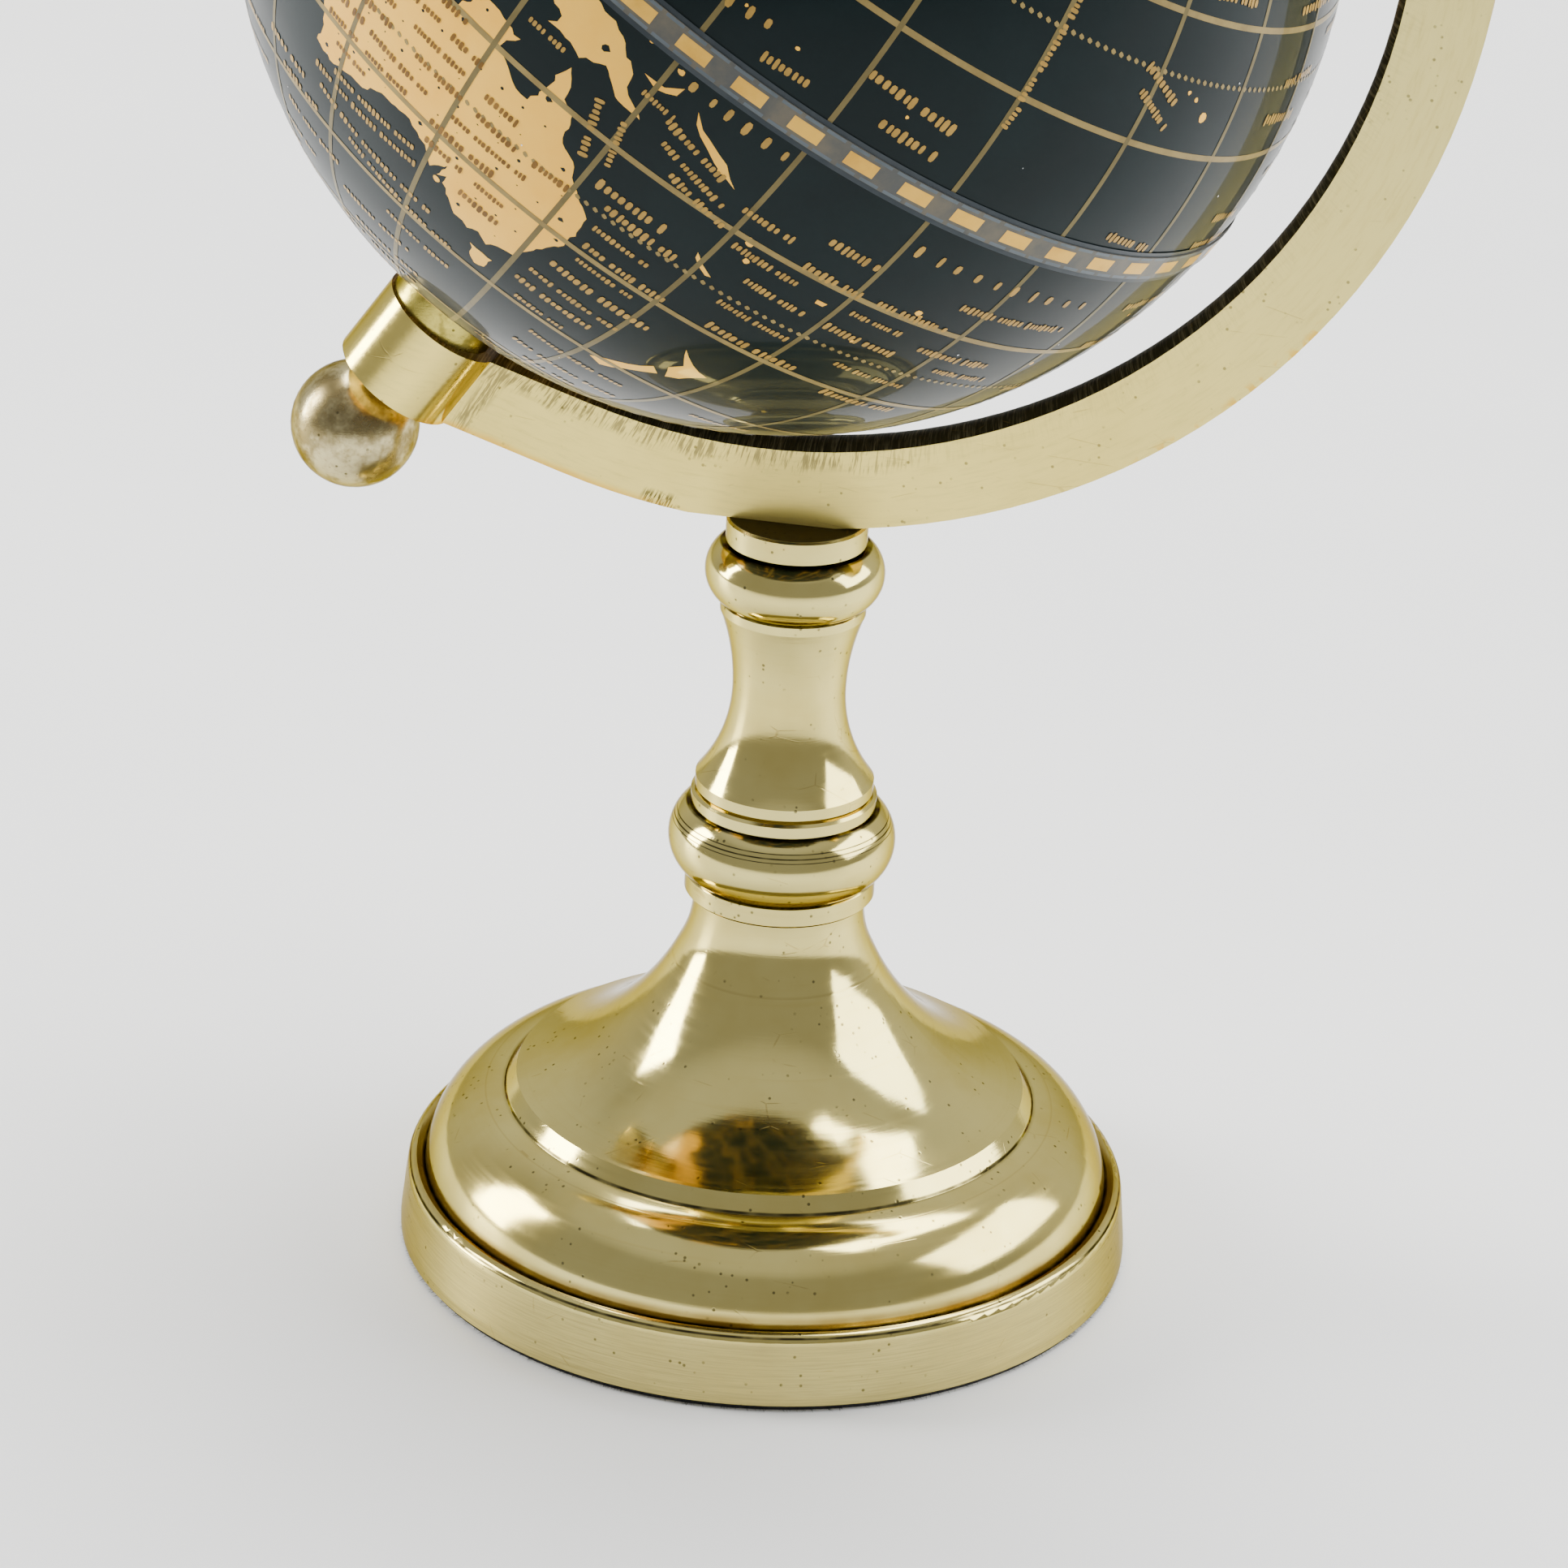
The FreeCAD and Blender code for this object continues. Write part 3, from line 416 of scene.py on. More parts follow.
def turned_brass(name, joints, satin_below=None, brown=None, dull_and_shaded_above=None, gloss=0.085):
    """Polished lathe work round the Z axis.

    joints: heights and half widths of dark lines. satin_below: height under which the wall is brushed.
    brown: radius, height and width of a lacquer stain. The last argument: height above which the top face
    is rougher and painted dark, as painted shade under the arm.
    """
    material, shader, n, place = new_material(name)
    x, y, z = n.split(place)
    radius = n.vector("LENGTH", n.join(x, y, 0))
    angle = n.math("ARCTAN2", y, x)
    lathe = n.join(radius, n.times(angle, 0.0005), z)
    fine = n.noise(lathe, 4200, 3, 0.7)
    rings = n.noise(lathe, 1100, 2, 0.6)
    groove = n.ramp(n.noise(n.join(radius, 0, z), 900, 1), 0.70, 0.78)
    cloud = n.noise(place, 40, 4, 0.6)
    pits, hairs = flaws(n, place)

    base = n.mix(n.ramp(cloud, 0.35, 0.75), BRASS_PALE, BRASS_WARM)
    base = n.tint(base, BRASS_WARM, n.ramp(rings, 0.5, 0.8), 0.3)
    base = n.tint(base, BRASS_BROWN, groove, 0.2)
    rough = n.plus(gloss, n.times(n.ramp(rings, 0.3, 0.8), 0.05))
    rough = n.plus(rough, n.times(n.ramp(cloud, 0.45, 0.75), 0.05))
    lift = n.plus(n.times(fine, 0.5), n.times(rings, 0.7))
    lift = n.minus(lift, n.times(groove, 0.5))

    if satin_below is not None:
        satin = n.fall(z, satin_below - 0.4 * MM, satin_below + 0.1 * MM)
        brushed = n.noise(n.join(n.times(angle, 0.0012), 0, z), 3800, 3, 0.8)
        rough = n.plus(rough, n.times(satin, 0.20))
        shade = n.times(satin, n.ramp(brushed, 0.35, 0.70, 0.30, 1))
        base = n.mix(shade, base, BRASS_SATIN)
        lift = n.plus(lift, n.times(n.times(satin, brushed), 1.6))
    if brown is not None:
        at_radius, at_height, width = brown
        off_side = n.apart(radius, at_radius)
        off_rise = n.apart(z, at_height)
        stain = n.fall(n.larger(off_side, off_rise), width * 0.4, width)
        stain = n.times(stain, n.ramp(n.noise(place, 90, 4), 0.25, 0.6, 0.35, 1))
        base = n.tint(base, BRASS_BROWN, stain, 0.85)
        rough = n.plus(rough, n.times(stain, 0.12))
    for height, width in joints:
        away = n.apart(z, height)
        line = n.fall(away, width * 0.3, width)
        line = n.times(line, n.ramp(n.noise(place, 260, 3), 0.2, 0.6, 0.5, 1))
        base = n.mix(line, base, BRASS_DARK)
    # Painted shade: above this height the top face, which the arm sits over, is painted dark; it is also
    # made rougher.
    if dull_and_shaded_above is not None:
        top = n.ramp(z, dull_and_shaded_above - 0.12 * MM, dull_and_shaded_above - 0.04 * MM)
        base = n.tint(base, BRASS_DARK, top, 0.93)
        rough = n.plus(rough, n.times(top, 0.4))
    base = n.tint(base, BRASS_DARK, pits, 0.75)
    base = n.tint(base, BRASS_BROWN, hairs, 0.35)
    lift = n.minus(lift, n.times(n.larger(pits, hairs), 0.9))
    finish_metal(n, shader, base, rough, lift, 0.07, 0.06)
    return material


def arm_brass(name):
    """Hand-filed bar: pale satin sides, inner face painted dark as shade, lacquer stains along the outer
    edge.
    """
    material, shader, n, place = new_material(name)
    facing = n.add("ShaderNodeTexCoord").outputs["Normal"]
    local = n.vector("SUBTRACT", place, tuple(ARM_CENTRE))
    side = n.vector("DOT_PRODUCT", local, tuple(EAST))
    rise = n.vector("DOT_PRODUCT", local, tuple(POLE))
    across = n.split(place)[1]
    down = n.times(rise, -1)
    turn = n.times(n.math("ARCTAN2", side, down), 180 / math.pi)
    round_reach = n.vector("LENGTH", n.join(side, 0, rise))
    bend = math.radians(ARM_STRAIGHT)
    flat_reach = n.plus(n.times(side, math.sin(bend)), n.times(down, math.cos(bend)))
    straight = n.math("LESS_THAN", turn, ARM_STRAIGHT)
    gap = n.minus(flat_reach, round_reach)
    reach = n.plus(round_reach, n.times(straight, gap))
    along = n.times(turn, ARM_INNER * math.pi / 180)
    inward = n.times(n.vector("DOT_PRODUCT", n.vector("NORMALIZE", local), facing), -1)
    inside = n.ramp(inward, 0.35, 0.6)
    outside = n.fall(inward, -0.6, -0.35)
    cloud = n.noise(place, 30, 4, 0.6)
    grain = n.noise(n.join(n.times(along, 0.12), across, reach), 1500, 4, 0.7)
    pits, hairs = flaws(n, place)

    base = n.mix(n.ramp(cloud, 0.35, 0.75), ARM_PALE, ARM_WARM)
    base = n.mix(n.ramp(turn, 60, 110, 0, 0.8), base, ARM_FAR)
    base = n.tint(base, BRASS_WARM, n.ramp(grain, 0.45, 0.75), 0.4)

    # Short file strokes run out from the inner edge and beside the boss.
    slanted = n.plus(along, n.times(reach, 0.25))
    strokes = n.noise(n.join(slanted, 0, n.times(reach, 0.10)), 2600, 2, 0.7)
    ragged = n.times(n.noise(place, 260, 2), -3.2 * MM)
    fade = n.plus(n.minus(reach, ARM_INNER), ragged)
    near_inner = n.fall(fade, 0.2 * MM, 1.9 * MM)
    near_inner = n.times(near_inner, n.ramp(turn, 40, 54, 1, 0.12))
    on_bar = n.ramp(side, CREASE - 2.4 * MM, CREASE - 1.9 * MM)
    near_inner = n.times(near_inner, on_bar)
    filed = n.times(near_inner, n.ramp(strokes, 0.47, 0.60))
    crease_at = n.apart(side, CREASE)
    crease = n.fall(crease_at, 0.4 * MM, 2 * MM)
    crease = n.times(crease, n.math("LESS_THAN", turn, 90))
    leaning = n.plus(side, n.times(rise, 0.12))
    cut = n.noise(n.join(leaning, 0, n.times(rise, 0.08)), 3400, 2, 0.7)
    filed = n.larger(filed, n.times(crease, n.ramp(cut, 0.42, 0.56)))
    base = n.tint(base, FILE_MARK, filed, 0.6)

    # A group of deep nicks crosses the outer edge.
    off_group = n.apart(turn, NICK_TURN)
    in_group = n.fall(off_group, 1, 1.9)
    at_edge = n.ramp(reach, ARM_OUTER - 2.6 * MM, ARM_OUTER - 1.2 * MM)
    nicks = n.times(n.times(in_group, at_edge), n.ramp(strokes, 0.46, 0.54))
    base = n.tint(base, BRASS_DARK, nicks, 0.9)

    # Old lacquer is left along the outer edge.
    uneven = n.plus(reach, n.times(n.noise(place, 130, 3), 1.6 * MM))
    edge = n.ramp(uneven, ARM_OUTER - 0.5 * MM, ARM_OUTER + 0.9 * MM)
    low_end = n.fall(turn, 20, 30)
    spots = n.times(n.ramp(turn, 64, 72), n.fall(turn, 86, 91))
    spots = n.times(spots, n.ramp(n.noise(place, 420, 2), 0.50, 0.58))
    lacquer = n.times(edge, n.larger(low_end, spots))
    lacquer = n.larger(lacquer, n.times(outside, n.ramp(cloud, 0.4, 0.7, 0.2, 0.7)))
    base = n.tint(base, LACQUER, lacquer, 0.8)

    # The inside is painted near black as shade between the arm and the ball, and made less metallic so that
    # it reflects little; the cross strokes of the file on it are real.
    scored = n.noise(n.join(along, n.times(across, 0.06), 0), 2400, 3, 0.75)
    dark = n.mix(n.ramp(scored, 0.45, 0.72), (0.014, 0.013, 0.008), (0.13, 0.115, 0.065))
    base = n.tint(base, dark, inside, 0.97)
    metal = n.minus(1, n.times(inside, 0.9))
    # Near the seat the bar is duller.
    flattened = n.vector("MULTIPLY", place, (1, 0, 1))
    from_seat = n.vector("DISTANCE", flattened, (0, 0, SEAT_HEIGHT))
    metal = n.minus(metal, n.ramp(from_seat, 8 * MM, 15 * MM, 0.55, 0))
    base = n.tint(base, BRASS_DARK, pits, 0.6)
    base = n.tint(base, BRASS_BROWN, hairs, 0.3)

    rough = n.plus(0.13, n.times(on_bar, 0.16))
    rough = n.plus(rough, n.times(n.ramp(grain, 0.3, 0.8), 0.08))
    rough = n.plus(rough, n.times(inside, 0.34))
    rough = n.plus(rough, n.times(filed, 0.15))
    lift = n.plus(n.times(grain, 0.5), n.times(filed, -1.2))
    lift = n.minus(lift, n.larger(pits, hairs))
    lift = n.plus(lift, n.times(n.times(inside, scored), 2))
    finish_metal(n, shader, base, rough, lift, 0.10, 0.05)
    n.link(metal, shader.inputs["Metallic"])
    fix(shader, Specular_IOR_Level=0.15)
    return material


def aged_brass(name, bright, worn, worn_share, roughness, shaded_near_ball=False):
    """Tarnished brass with mottles, brushed lines and brown specks; the last flag adds painted shade next
    to the ball.
    """
    material, shader, n, place = new_material(name)
    patches = n.noise(place, 150, 4, 0.65)
    mottle = n.noise(n.vector("ADD", place, (0.05, 0.01, 0.02)), 900, 4, 0.7)
    brush = n.noise(n.vector("MULTIPLY", place, (0.25, 1, 1.3)), 2400, 2, 0.7)
    pits, hairs = flaws(n, place)
    base = n.mix(n.ramp(patches, 0.62 - worn_share * 0.3, 0.80 - worn_share * 0.3), bright, worn)
    base = n.tint(base, worn, n.ramp(mottle, 0.45, 0.75), 0.45)
    base = n.tint(base, BRASS_BROWN, n.ramp(mottle, 0.62, 0.70), 0.5)
    if shaded_near_ball:
        # Painted shade: the part is darkened where it comes close to the ball.
        from_ball = n.vector("DOT_PRODUCT", n.vector("SUBTRACT", place, tuple(BALL_CENTRE)), tuple(POLE))
        depth = n.minus(n.math("ABSOLUTE", from_ball), BALL_RADIUS)
        shade = n.ramp(depth, 1.2 * MM, 2.6 * MM, 0.8, 0)
        base = n.mix(shade, base, BRASS_DARK)
    base = n.tint(base, BRASS_DARK, pits, 0.8)
    rough = n.plus(roughness, n.times(n.ramp(patches, 0.4, 0.7), 0.14))
    lift = n.plus(n.times(mottle, 0.8), n.times(brush, 0.9))
    lift = n.minus(lift, n.larger(pits, hairs))
    finish_metal(n, shader, base, rough, lift, 0.14)
    return material


def plain(name, colour, other, roughness, metallic, scale, relief=0.2):
    """Simple matt or metal stock with a fine grain."""
    material, shader, n, place = new_material(name)
    grain = n.noise(place, scale, 4, 0.6)
    broad = n.noise(place, scale / 12, 3)
    share = n.times(n.ramp(grain, 0.3, 0.7), n.ramp(broad, 0.2, 0.8, 0.4, 1))
    n.link(n.mix(share, colour, other), shader.inputs["Base Color"])
    fix(shader, Metallic=metallic)
    rough = n.ramp(grain, 0.2, 0.8, roughness * 0.85, min(roughness * 1.15, 1))
    n.link(rough, shader.inputs["Roughness"])
    n.link(n.bump(grain, relief, 0.2 * MM), shader.inputs["Normal"])
    return material


def printed(name, colour, other, scale):
    """Ink under the ball's clear lacquer."""
    material, shader, n, place = new_material(name)
    cloud = n.noise(place, scale, 5, 0.6)
    n.link(n.mix(n.ramp(cloud, 0.35, 0.75), colour, other), shader.inputs["Base Color"])
    smear = n.noise(place, 22, 3)
    n.link(n.ramp(smear, 0.3, 0.7, 0.34, 0.46), shader.inputs["Roughness"])
    fix(shader, Specular_IOR_Level=0.05, Coat_Weight=0.32, Coat_Roughness=0.03, Coat_IOR=1.3)
    return material


SEA = printed("sea_print", (0.0018, 0.0068, 0.0074), (0.0032, 0.0100, 0.0108), 46)
LAND = printed("land_print", (0.93, 0.53, 0.070), (0.85, 0.42, 0.035), 42)
INK = printed("land_ink", (0.12, 0.058, 0.010), (0.22, 0.11, 0.02), 300)
LINE = printed("line_print", (0.26, 0.19, 0.065), (0.19, 0.135, 0.045), 200)
FAINT = printed("meridian_print", (0.15, 0.118, 0.045), (0.11, 0.085, 0.032), 200)
LABEL = printed("label_print", (0.40, 0.24, 0.05), (0.27, 0.165, 0.038), 300)
TAPE = printed("equator_tape", (0.075, 0.078, 0.074), (0.13, 0.115, 0.085), 160)
TAPE_EDGE = printed("equator_edge", (0.105, 0.125, 0.138), (0.075, 0.09, 0.10), 120)
TAPE_FILM = printed("equator_film", (0.028, 0.036, 0.042), (0.045, 0.054, 0.06), 120)
DASH = printed("equator_dash", (0.74, 0.43, 0.065), (0.58, 0.31, 0.04), 120)
DUST = printed("dust", (0.75, 0.78, 0.80), (0.6, 0.62, 0.64), 900)

# ---------------- map on the ball


def jagged(outline, step, wobble, seed):
    """Coast points between the given ones, pushed a little sideways."""
    points = []
    for number, (lon, lat) in enumerate(outline):
        next_lon, next_lat = outline[(number + 1) % len(outline)]
        if next_lon - lon > 180:
            next_lon -= 360
        if lon - next_lon > 180:
            next_lon += 360
        stretch = math.cos(math.radians((lat + next_lat) / 2))
        length = math.hypot((next_lon - lon) * stretch, next_lat - lat)
        pieces = max(1, round(length / step))
        for part in range(pieces):
            share = part / pieces
            here_lon = lon + (next_lon - lon) * share
            here_lat = lat + (next_lat - lat) * share
            push = 0.0 if part == 0 else wobble
            spot = Vector((here_lon * 0.9, here_lat * 0.9, seed))
            here_lon += push * noise.noise(spot) / max(stretch, 0.2)
            here_lat += push * noise.noise(spot + Vector((31.7, 11.3, 0)))
            points.append((here_lon, here_lat))
    return points


def flat_map(centre):
    """Forward and back between the ball and an equal-distance map round a centre direction."""
    up = centre.normalized()
    side = up.orthogonal().normalized()
    other = up.cross(side)

    def forward(direction):
        distance = up.angle(direction)
        sideways = Vector((direction.dot(side), direction.dot(other)))
        if sideways.length < 1e-9:
            return Vector((0.0, 0.0))
        return sideways.normalized() * distance

    def back(flat):
        distance = flat.length
        if distance < 1e-9:
            return up.copy()
        along = (side * flat.x + other * flat.y) / distance
        return up * math.cos(distance) + along * math.sin(distance)

    return forward, back


def inside(point, ring):
    """True if a flat point lies inside a closed ring."""
    hit = False
    for number, start in enumerate(ring):
        end = ring[(number + 1) % len(ring)]
        if (start.y > point.y) != (end.y > point.y):
            if point.x < start.x + (end.x - start.x) * (point.y - start.y) / (end.y - start.y):
                hit = not hit
    return hit


def patch(outline, lift, spacing):
    """Filled outline on the ball, with inner points so that it follows the curve."""
    directions = [(on_ball(lon, lat) - BALL_CENTRE).normalized() for lon, lat in outline]
    centre = sum(directions, Vector())
    forward, back = flat_map(centre)
    ring = [forward(d) for d in directions]
    low_x, high_x = min(p.x for p in ring), max(p.x for p in ring)
    low_y, high_y = min(p.y for p in ring), max(p.y for p in ring)
    gap = math.radians(spacing)
    points = list(ring)
    row = 0
    y = low_y + gap / 2
    while y < high_y:
        x = low_x + gap * (0.5 if row % 2 else 1.0)
        while x < high_x:
            spot = Vector((x, y))
            if inside(spot, ring) and min((spot - p).length for p in ring) > gap * 0.45:
                points.append(spot)
            x += gap
        y += gap * 0.87
        row += 1
    verts, _, faces, _, _, _ = delaunay_2d_cdt(points, [], [list(range(len(ring)))], 1, 1e-7)
    placed = [BALL_CENTRE + back(Vector(v)) * (BALL_RADIUS + lift) for v in verts]
    sound = []
    for face in faces:
        a, b, c = (placed[i] for i in face[:3])
        outward = (b - a).cross(c - a).dot(a - BALL_CENTRE) > 0
        sound.append(list(face) if outward else list(reversed(face)))
    return placed, sound


def ribbon(track, width, lift):
    """Strip of constant width along (longitude, latitude) points on the ball."""
    middle = [on_ball(lon, lat) - BALL_CENTRE for lon, lat in track]
    points = []
    for number, spot in enumerate(middle):
        ahead = middle[min(number + 1, len(middle) - 1)]
        behind = middle[max(number - 1, 0)]
        across = spot.cross(ahead - behind).normalized() * width / 2
        for side in (-1, 1):
            points.append(BALL_CENTRE + (spot + across * side).normalized() * (BALL_RADIUS + lift))
    faces = []
    for number in range(len(middle) - 1):
        a = number * 2
        faces.append([a + 1, a, a + 2, a + 3])
    return points, faces


def islet(lon, lat, size, seed, lift=PRINT_LIFT, corners=9):
    """Small uneven disc on the ball, with its size in degrees."""
    ring = []
    for number in range(corners):
        turn = 2 * math.pi * number / corners
        reach = size / 2 * (1 + 0.45 * noise.noise(Vector((turn, seed, 0.5))))
        stretch = max(math.cos(math.radians(lat)), 0.2)
        ring.append((lon + reach * math.cos(turn) / stretch, lat + reach * math.sin(turn)))
    points = [on_ball(lon, lat, lift)] + [on_ball(a, b, lift) for a, b in ring]
    faces = [[0, 1 + i, 1 + (i + 1) % corners] for i in range(corners)]
    return points, faces


# Degrees between coast points, how far they are pushed aside, and degrees between inner points.
FINE_COAST = 0.7
COAST = 1.4
SHORE = 1.2
COAST_PUSH = 0.55
SHORE_PUSH = 0.4
LAND_SPACING = 2.2
LAKE_SPACING = 2.0
LAKE_SEED = 70.0


def build_lands():
    for number, (name, outline) in enumerate(LANDS.items()):
        step = FINE_COAST if name in ("australia", "new_guinea", "tasmania") else COAST
        coast = jagged(outline, step, COAST_PUSH, number * 3.1)
        ball_piece("land_" + name, [patch(coast, PRINT_LIFT, LAND_SPACING)], LAND)
    ball_piece("land_islets", [islet(*spot, number) for number, spot in enumerate(ISLETS)], LAND)
    shores = [jagged(outline, SHORE, SHORE_PUSH, LAKE_SEED) for outline in LAKES.values()]
    ball_piece("map_lakes", [patch(shore, LAKE_LIFT, LAKE_SPACING) for shore in shores], SEA)


GRID_STEP = 15
LINE_WIDTH = 0.85 * MM
MERIDIAN_WIDTH = LINE_WIDTH * 0.9
POLE_END = 80
MERIDIAN_PARTS = 120
DOTTED_PARALLELS = (23.4, -23.4, 66.5, -66.5)
DOT_SIZE = 0.62
DOT_PITCH = 1.05


def build_graticule():
    strips = []
    for lon in range(-180, 180, GRID_STEP):
        end = POLE_END if lon % 30 == 0 else POLE_END - GRID_STEP / 2
        track = [(lon, -end + 2 * end * i / MERIDIAN_PARTS) for i in range(MERIDIAN_PARTS + 1)]
        strips.append(ribbon(track, MERIDIAN_WIDTH, LINE_LIFT))
    ball_piece("map_meridians", strips, FAINT)
    strips = []
    for lat in range(-75, 76, GRID_STEP):
        if lat != 0:
            track = [(i * 2, lat) for i in range(181)]
            strips.append(ribbon(track, LINE_WIDTH, LINE_LIFT + 0.004 * MM))
    ball_piece("map_parallels", strips, LINE)
    dots = []
    for lat in DOTTED_PARALLELS:
        count = round(360 * math.cos(math.radians(lat)) / DOT_PITCH)
        for number in range(count):
            lon = 360 * number / count
            dots.append(islet(lon, lat, DOT_SIZE, 0.0, LINE_LIFT, 6))
    ball_piece("map_tropics", dots, LINE)


build_lands()
build_graticule()

# ---------------- place names, as rows without letters

PILL_CORNERS = 8
PILL_POWER = 0.7            # under 1 makes a blob squarer than an ellipse
WORD_LENGTHS = (4, 9)

# Shares of a row's height.
BLOB_WIDTHS = (0.34, 0.52)
BLOB_HEIGHTS = (1.0, 0.72, 0.72, 0.66, 0.9)
BLOB_GAP = 0.14
WORD_GAP = 0.5


def pill(centre, along, wide, tall, lift):
    """Rounded blob on the ball: centre direction, writing direction, width and height in metres."""
    up = centre.cross(along).normalized()
    points = [centre.copy()]
    for number in range(PILL_CORNERS):
        turn = math.pi / 8 + math.pi * number / 4
        x = wide / 2 * math.copysign(abs(math.cos(turn)) ** PILL_POWER, math.cos(turn))
        y = tall / 2 * math.copysign(abs(math.sin(turn)) ** PILL_POWER, math.sin(turn))
        points.append(centre + along * (x / BALL_RADIUS) + up * (y / BALL_RADIUS))
    placed = [BALL_CENTRE + p.normalized() * (BALL_RADIUS + lift) for p in points]
    return placed, [[0, 1 + i, 1 + (i + 1) % PILL_CORNERS] for i in range(PILL_CORNERS)]


def row(start, end, tall, rng, spread=1.0):
    """Row of blobs from one longitude and latitude to another."""
    first = (on_ball(*start) - BALL_CENTRE).normalized()
    last = (on_ball(*end) - BALL_CENTRE).normalized()
    whole = first.angle(last) * BALL_RADIUS
    along = (last - first).normalized()
    blobs = []
    travelled = 0.0
    until_gap = rng.randint(*WORD_LENGTHS)
    while travelled < whole:
        wide = tall * rng.uniform(*BLOB_WIDTHS)
        high = tall * rng.choice(BLOB_HEIGHTS)
        centre = first.slerp(last, travelled / whole)
        forward = (along - centre * along.dot(centre)).normalized()
        blobs.append(pill(centre, forward, wide, high, LABEL_LIFT))
        travelled += (wide + tall * BLOB_GAP) * spread
        until_gap -= 1
        if until_gap == 0 and spread == 1.0:
            travelled += tall * WORD_GAP
            until_gap = rng.randint(*WORD_LENGTHS)
    return blobs


# Rows in the western Pacific: longitude and latitude of start and end, height in millimetres,
# and for spread-out rows the spread.
SEA_ROWS = number_rows("""
    165.6 9.1 176.4 8.2 1.9, 169.4 5.1 176.1 4.7 1.9, 156.1 4.1 162.1 4.4 1.7, 180.6 26.7 180.2 14.2 1.3,
    180.6 13.6 180.2 10.4 1.3, 201.1 3.7 208.7 2.8 1.7, 181.7 -6 206.9 -6.5 2.1 3,
    150.3 6.8 156.4 7.4 2.1 2.2, 152.7 -3.4 164.7 -3.9 2.1 2.4, 173.6 -9.9 180 -10.2 1.7,
    191.4 -10.7 207.7 -10.7 1.5, 193 23.4 199.6 20.1 1.7, 193.5 20.6 199 17.6 1.4,
    151.8 -20.1 159.9 -20.1 2, 154 -22.2 163 -22.6 1.7, 154.4 -25.6 161.6 -25.8 1.3,
    155 -28.6 165.6 -29 1.5, 155.4 -31.2 163 -31.4 1.3, 153.8 -34.2 168.4 -34.6 1.8,
    152.4 -37.4 166 -37.8 1.4, 151.8 -40.2 163.8 -40.4 1.6, 153.4 -43.6 161 -43.8 1.2,
    116 -37.4 134 -36.6 1.3, 119.4 -35.6 133.4 -34.6 1.3, 117.4 -39.8 138.6 -41.6 1.4,
    124 -42.6 143 -44.6 1.3, 146.6 -11.6 148.6 -18.6 1.5, 149.8 -12 151.2 -17.8 1.3,
    153 -8.4 161.6 -10.6 1.5, 154 -10.9 162.4 -13.2 1.3, 156.6 -13.6 164 -15.4 1.4,
    164.4 -12 170.6 -12.2 1.5, 166.2 -16.6 174.4 -17 1.3, 173.4 -14.2 180.8 -14.6 1.6,
    170 -20 177.8 -20.4 1.3, 183 -14.4 192.6 -14.6 1.5, 181.6 -17.2 188.6 -17.4 1.2,
    180.8 -20.4 190.2 -20.8 1.6, 192.4 -18.6 203.4 -18.8 1.6, 197.6 -21.4 206.4 -21.6 1.3,
    169.8 -24.6 179.6 -25 1.3, 171.4 -28.6 183.4 -29 1.8, 186.4 -25.4 196.8 -25.8 1.3,
    190 -31 203 -31.4 1.7, 136.6 -9.6 141.2 -9.7 1.2, 149.4 -7.4 153.2 -7.8 1.1""")

# Other rows: degrees between lines, then ranges of height in millimetres, length and gap in degrees.
ROW_GAP = 4.3
SEA_HEIGHTS = (1.2, 1.3, 1.5, 1.8)
SEA_LENGTHS = (5, 12)
SEA_GAPS = (4, 13)
LAND_ROW_GAP = 2.75
LAND_HEIGHTS = (1.1, 1.2, 1.3, 1.5)
LAND_LENGTHS = (3.5, 9.5)
LAND_GAPS = (1.0, 3.5)
SOUTH_LIMIT = -62.0
NORTH_LIMIT = 72
ROW_MARGIN = 1.2
SPECKS = 70
SPECK_SIZES = (0.12, 0.3)


def on_land(lon, lat):
    for outline in LANDS.values():
        for turn in (-360, 0, 360):
            if inside(Vector((lon + turn, lat)), [Vector(p) for p in outline]):
                return True
    return False


def clear_of_land(start, end):
    """True if the row and a margin round it lie in the sea."""
    for part in range(7):
        lon = start[0] + (end[0] - start[0]) * (part / 3 - 0.5)
        lat = start[1] + (end[1] - start[1]) * (part / 3 - 0.5)
        if on_land(lon, lat - ROW_MARGIN) or on_land(lon, lat + ROW_MARGIN):
            return False
    return True


def near_listed(lon, lat):
    """True in the sea area that SEA_ROWS fills."""
    return 112 < lon % 360 < 212 and -48 < lat < 30


def build_labels():
    rng = random.Random(41)
    blobs = []
    for west, south, east, north, tall, *spread in SEA_ROWS:
        blobs += row((west, south), (east, north), tall * MM, rng, *spread)
    lat = SOUTH_LIMIT
    while lat < NORTH_LIMIT:
        lon = rng.uniform(0, 12)
        while lon < 356:
            tall = rng.choice(SEA_HEIGHTS) * MM
            stretch = math.cos(math.radians(lat))
            length = rng.uniform(*SEA_LENGTHS) / stretch
            start = (lon, lat + rng.uniform(-0.9, 0.9))
            end = (lon + length, start[1] + rng.uniform(-0.6, 0.6))
            if not near_listed(lon, lat) and clear_of_land(start, end):
                blobs += row(start, end, tall, rng)
            lon += length + rng.uniform(*SEA_GAPS) / stretch
        lat += ROW_GAP
    ball_piece("map_sea_names", blobs, LABEL)


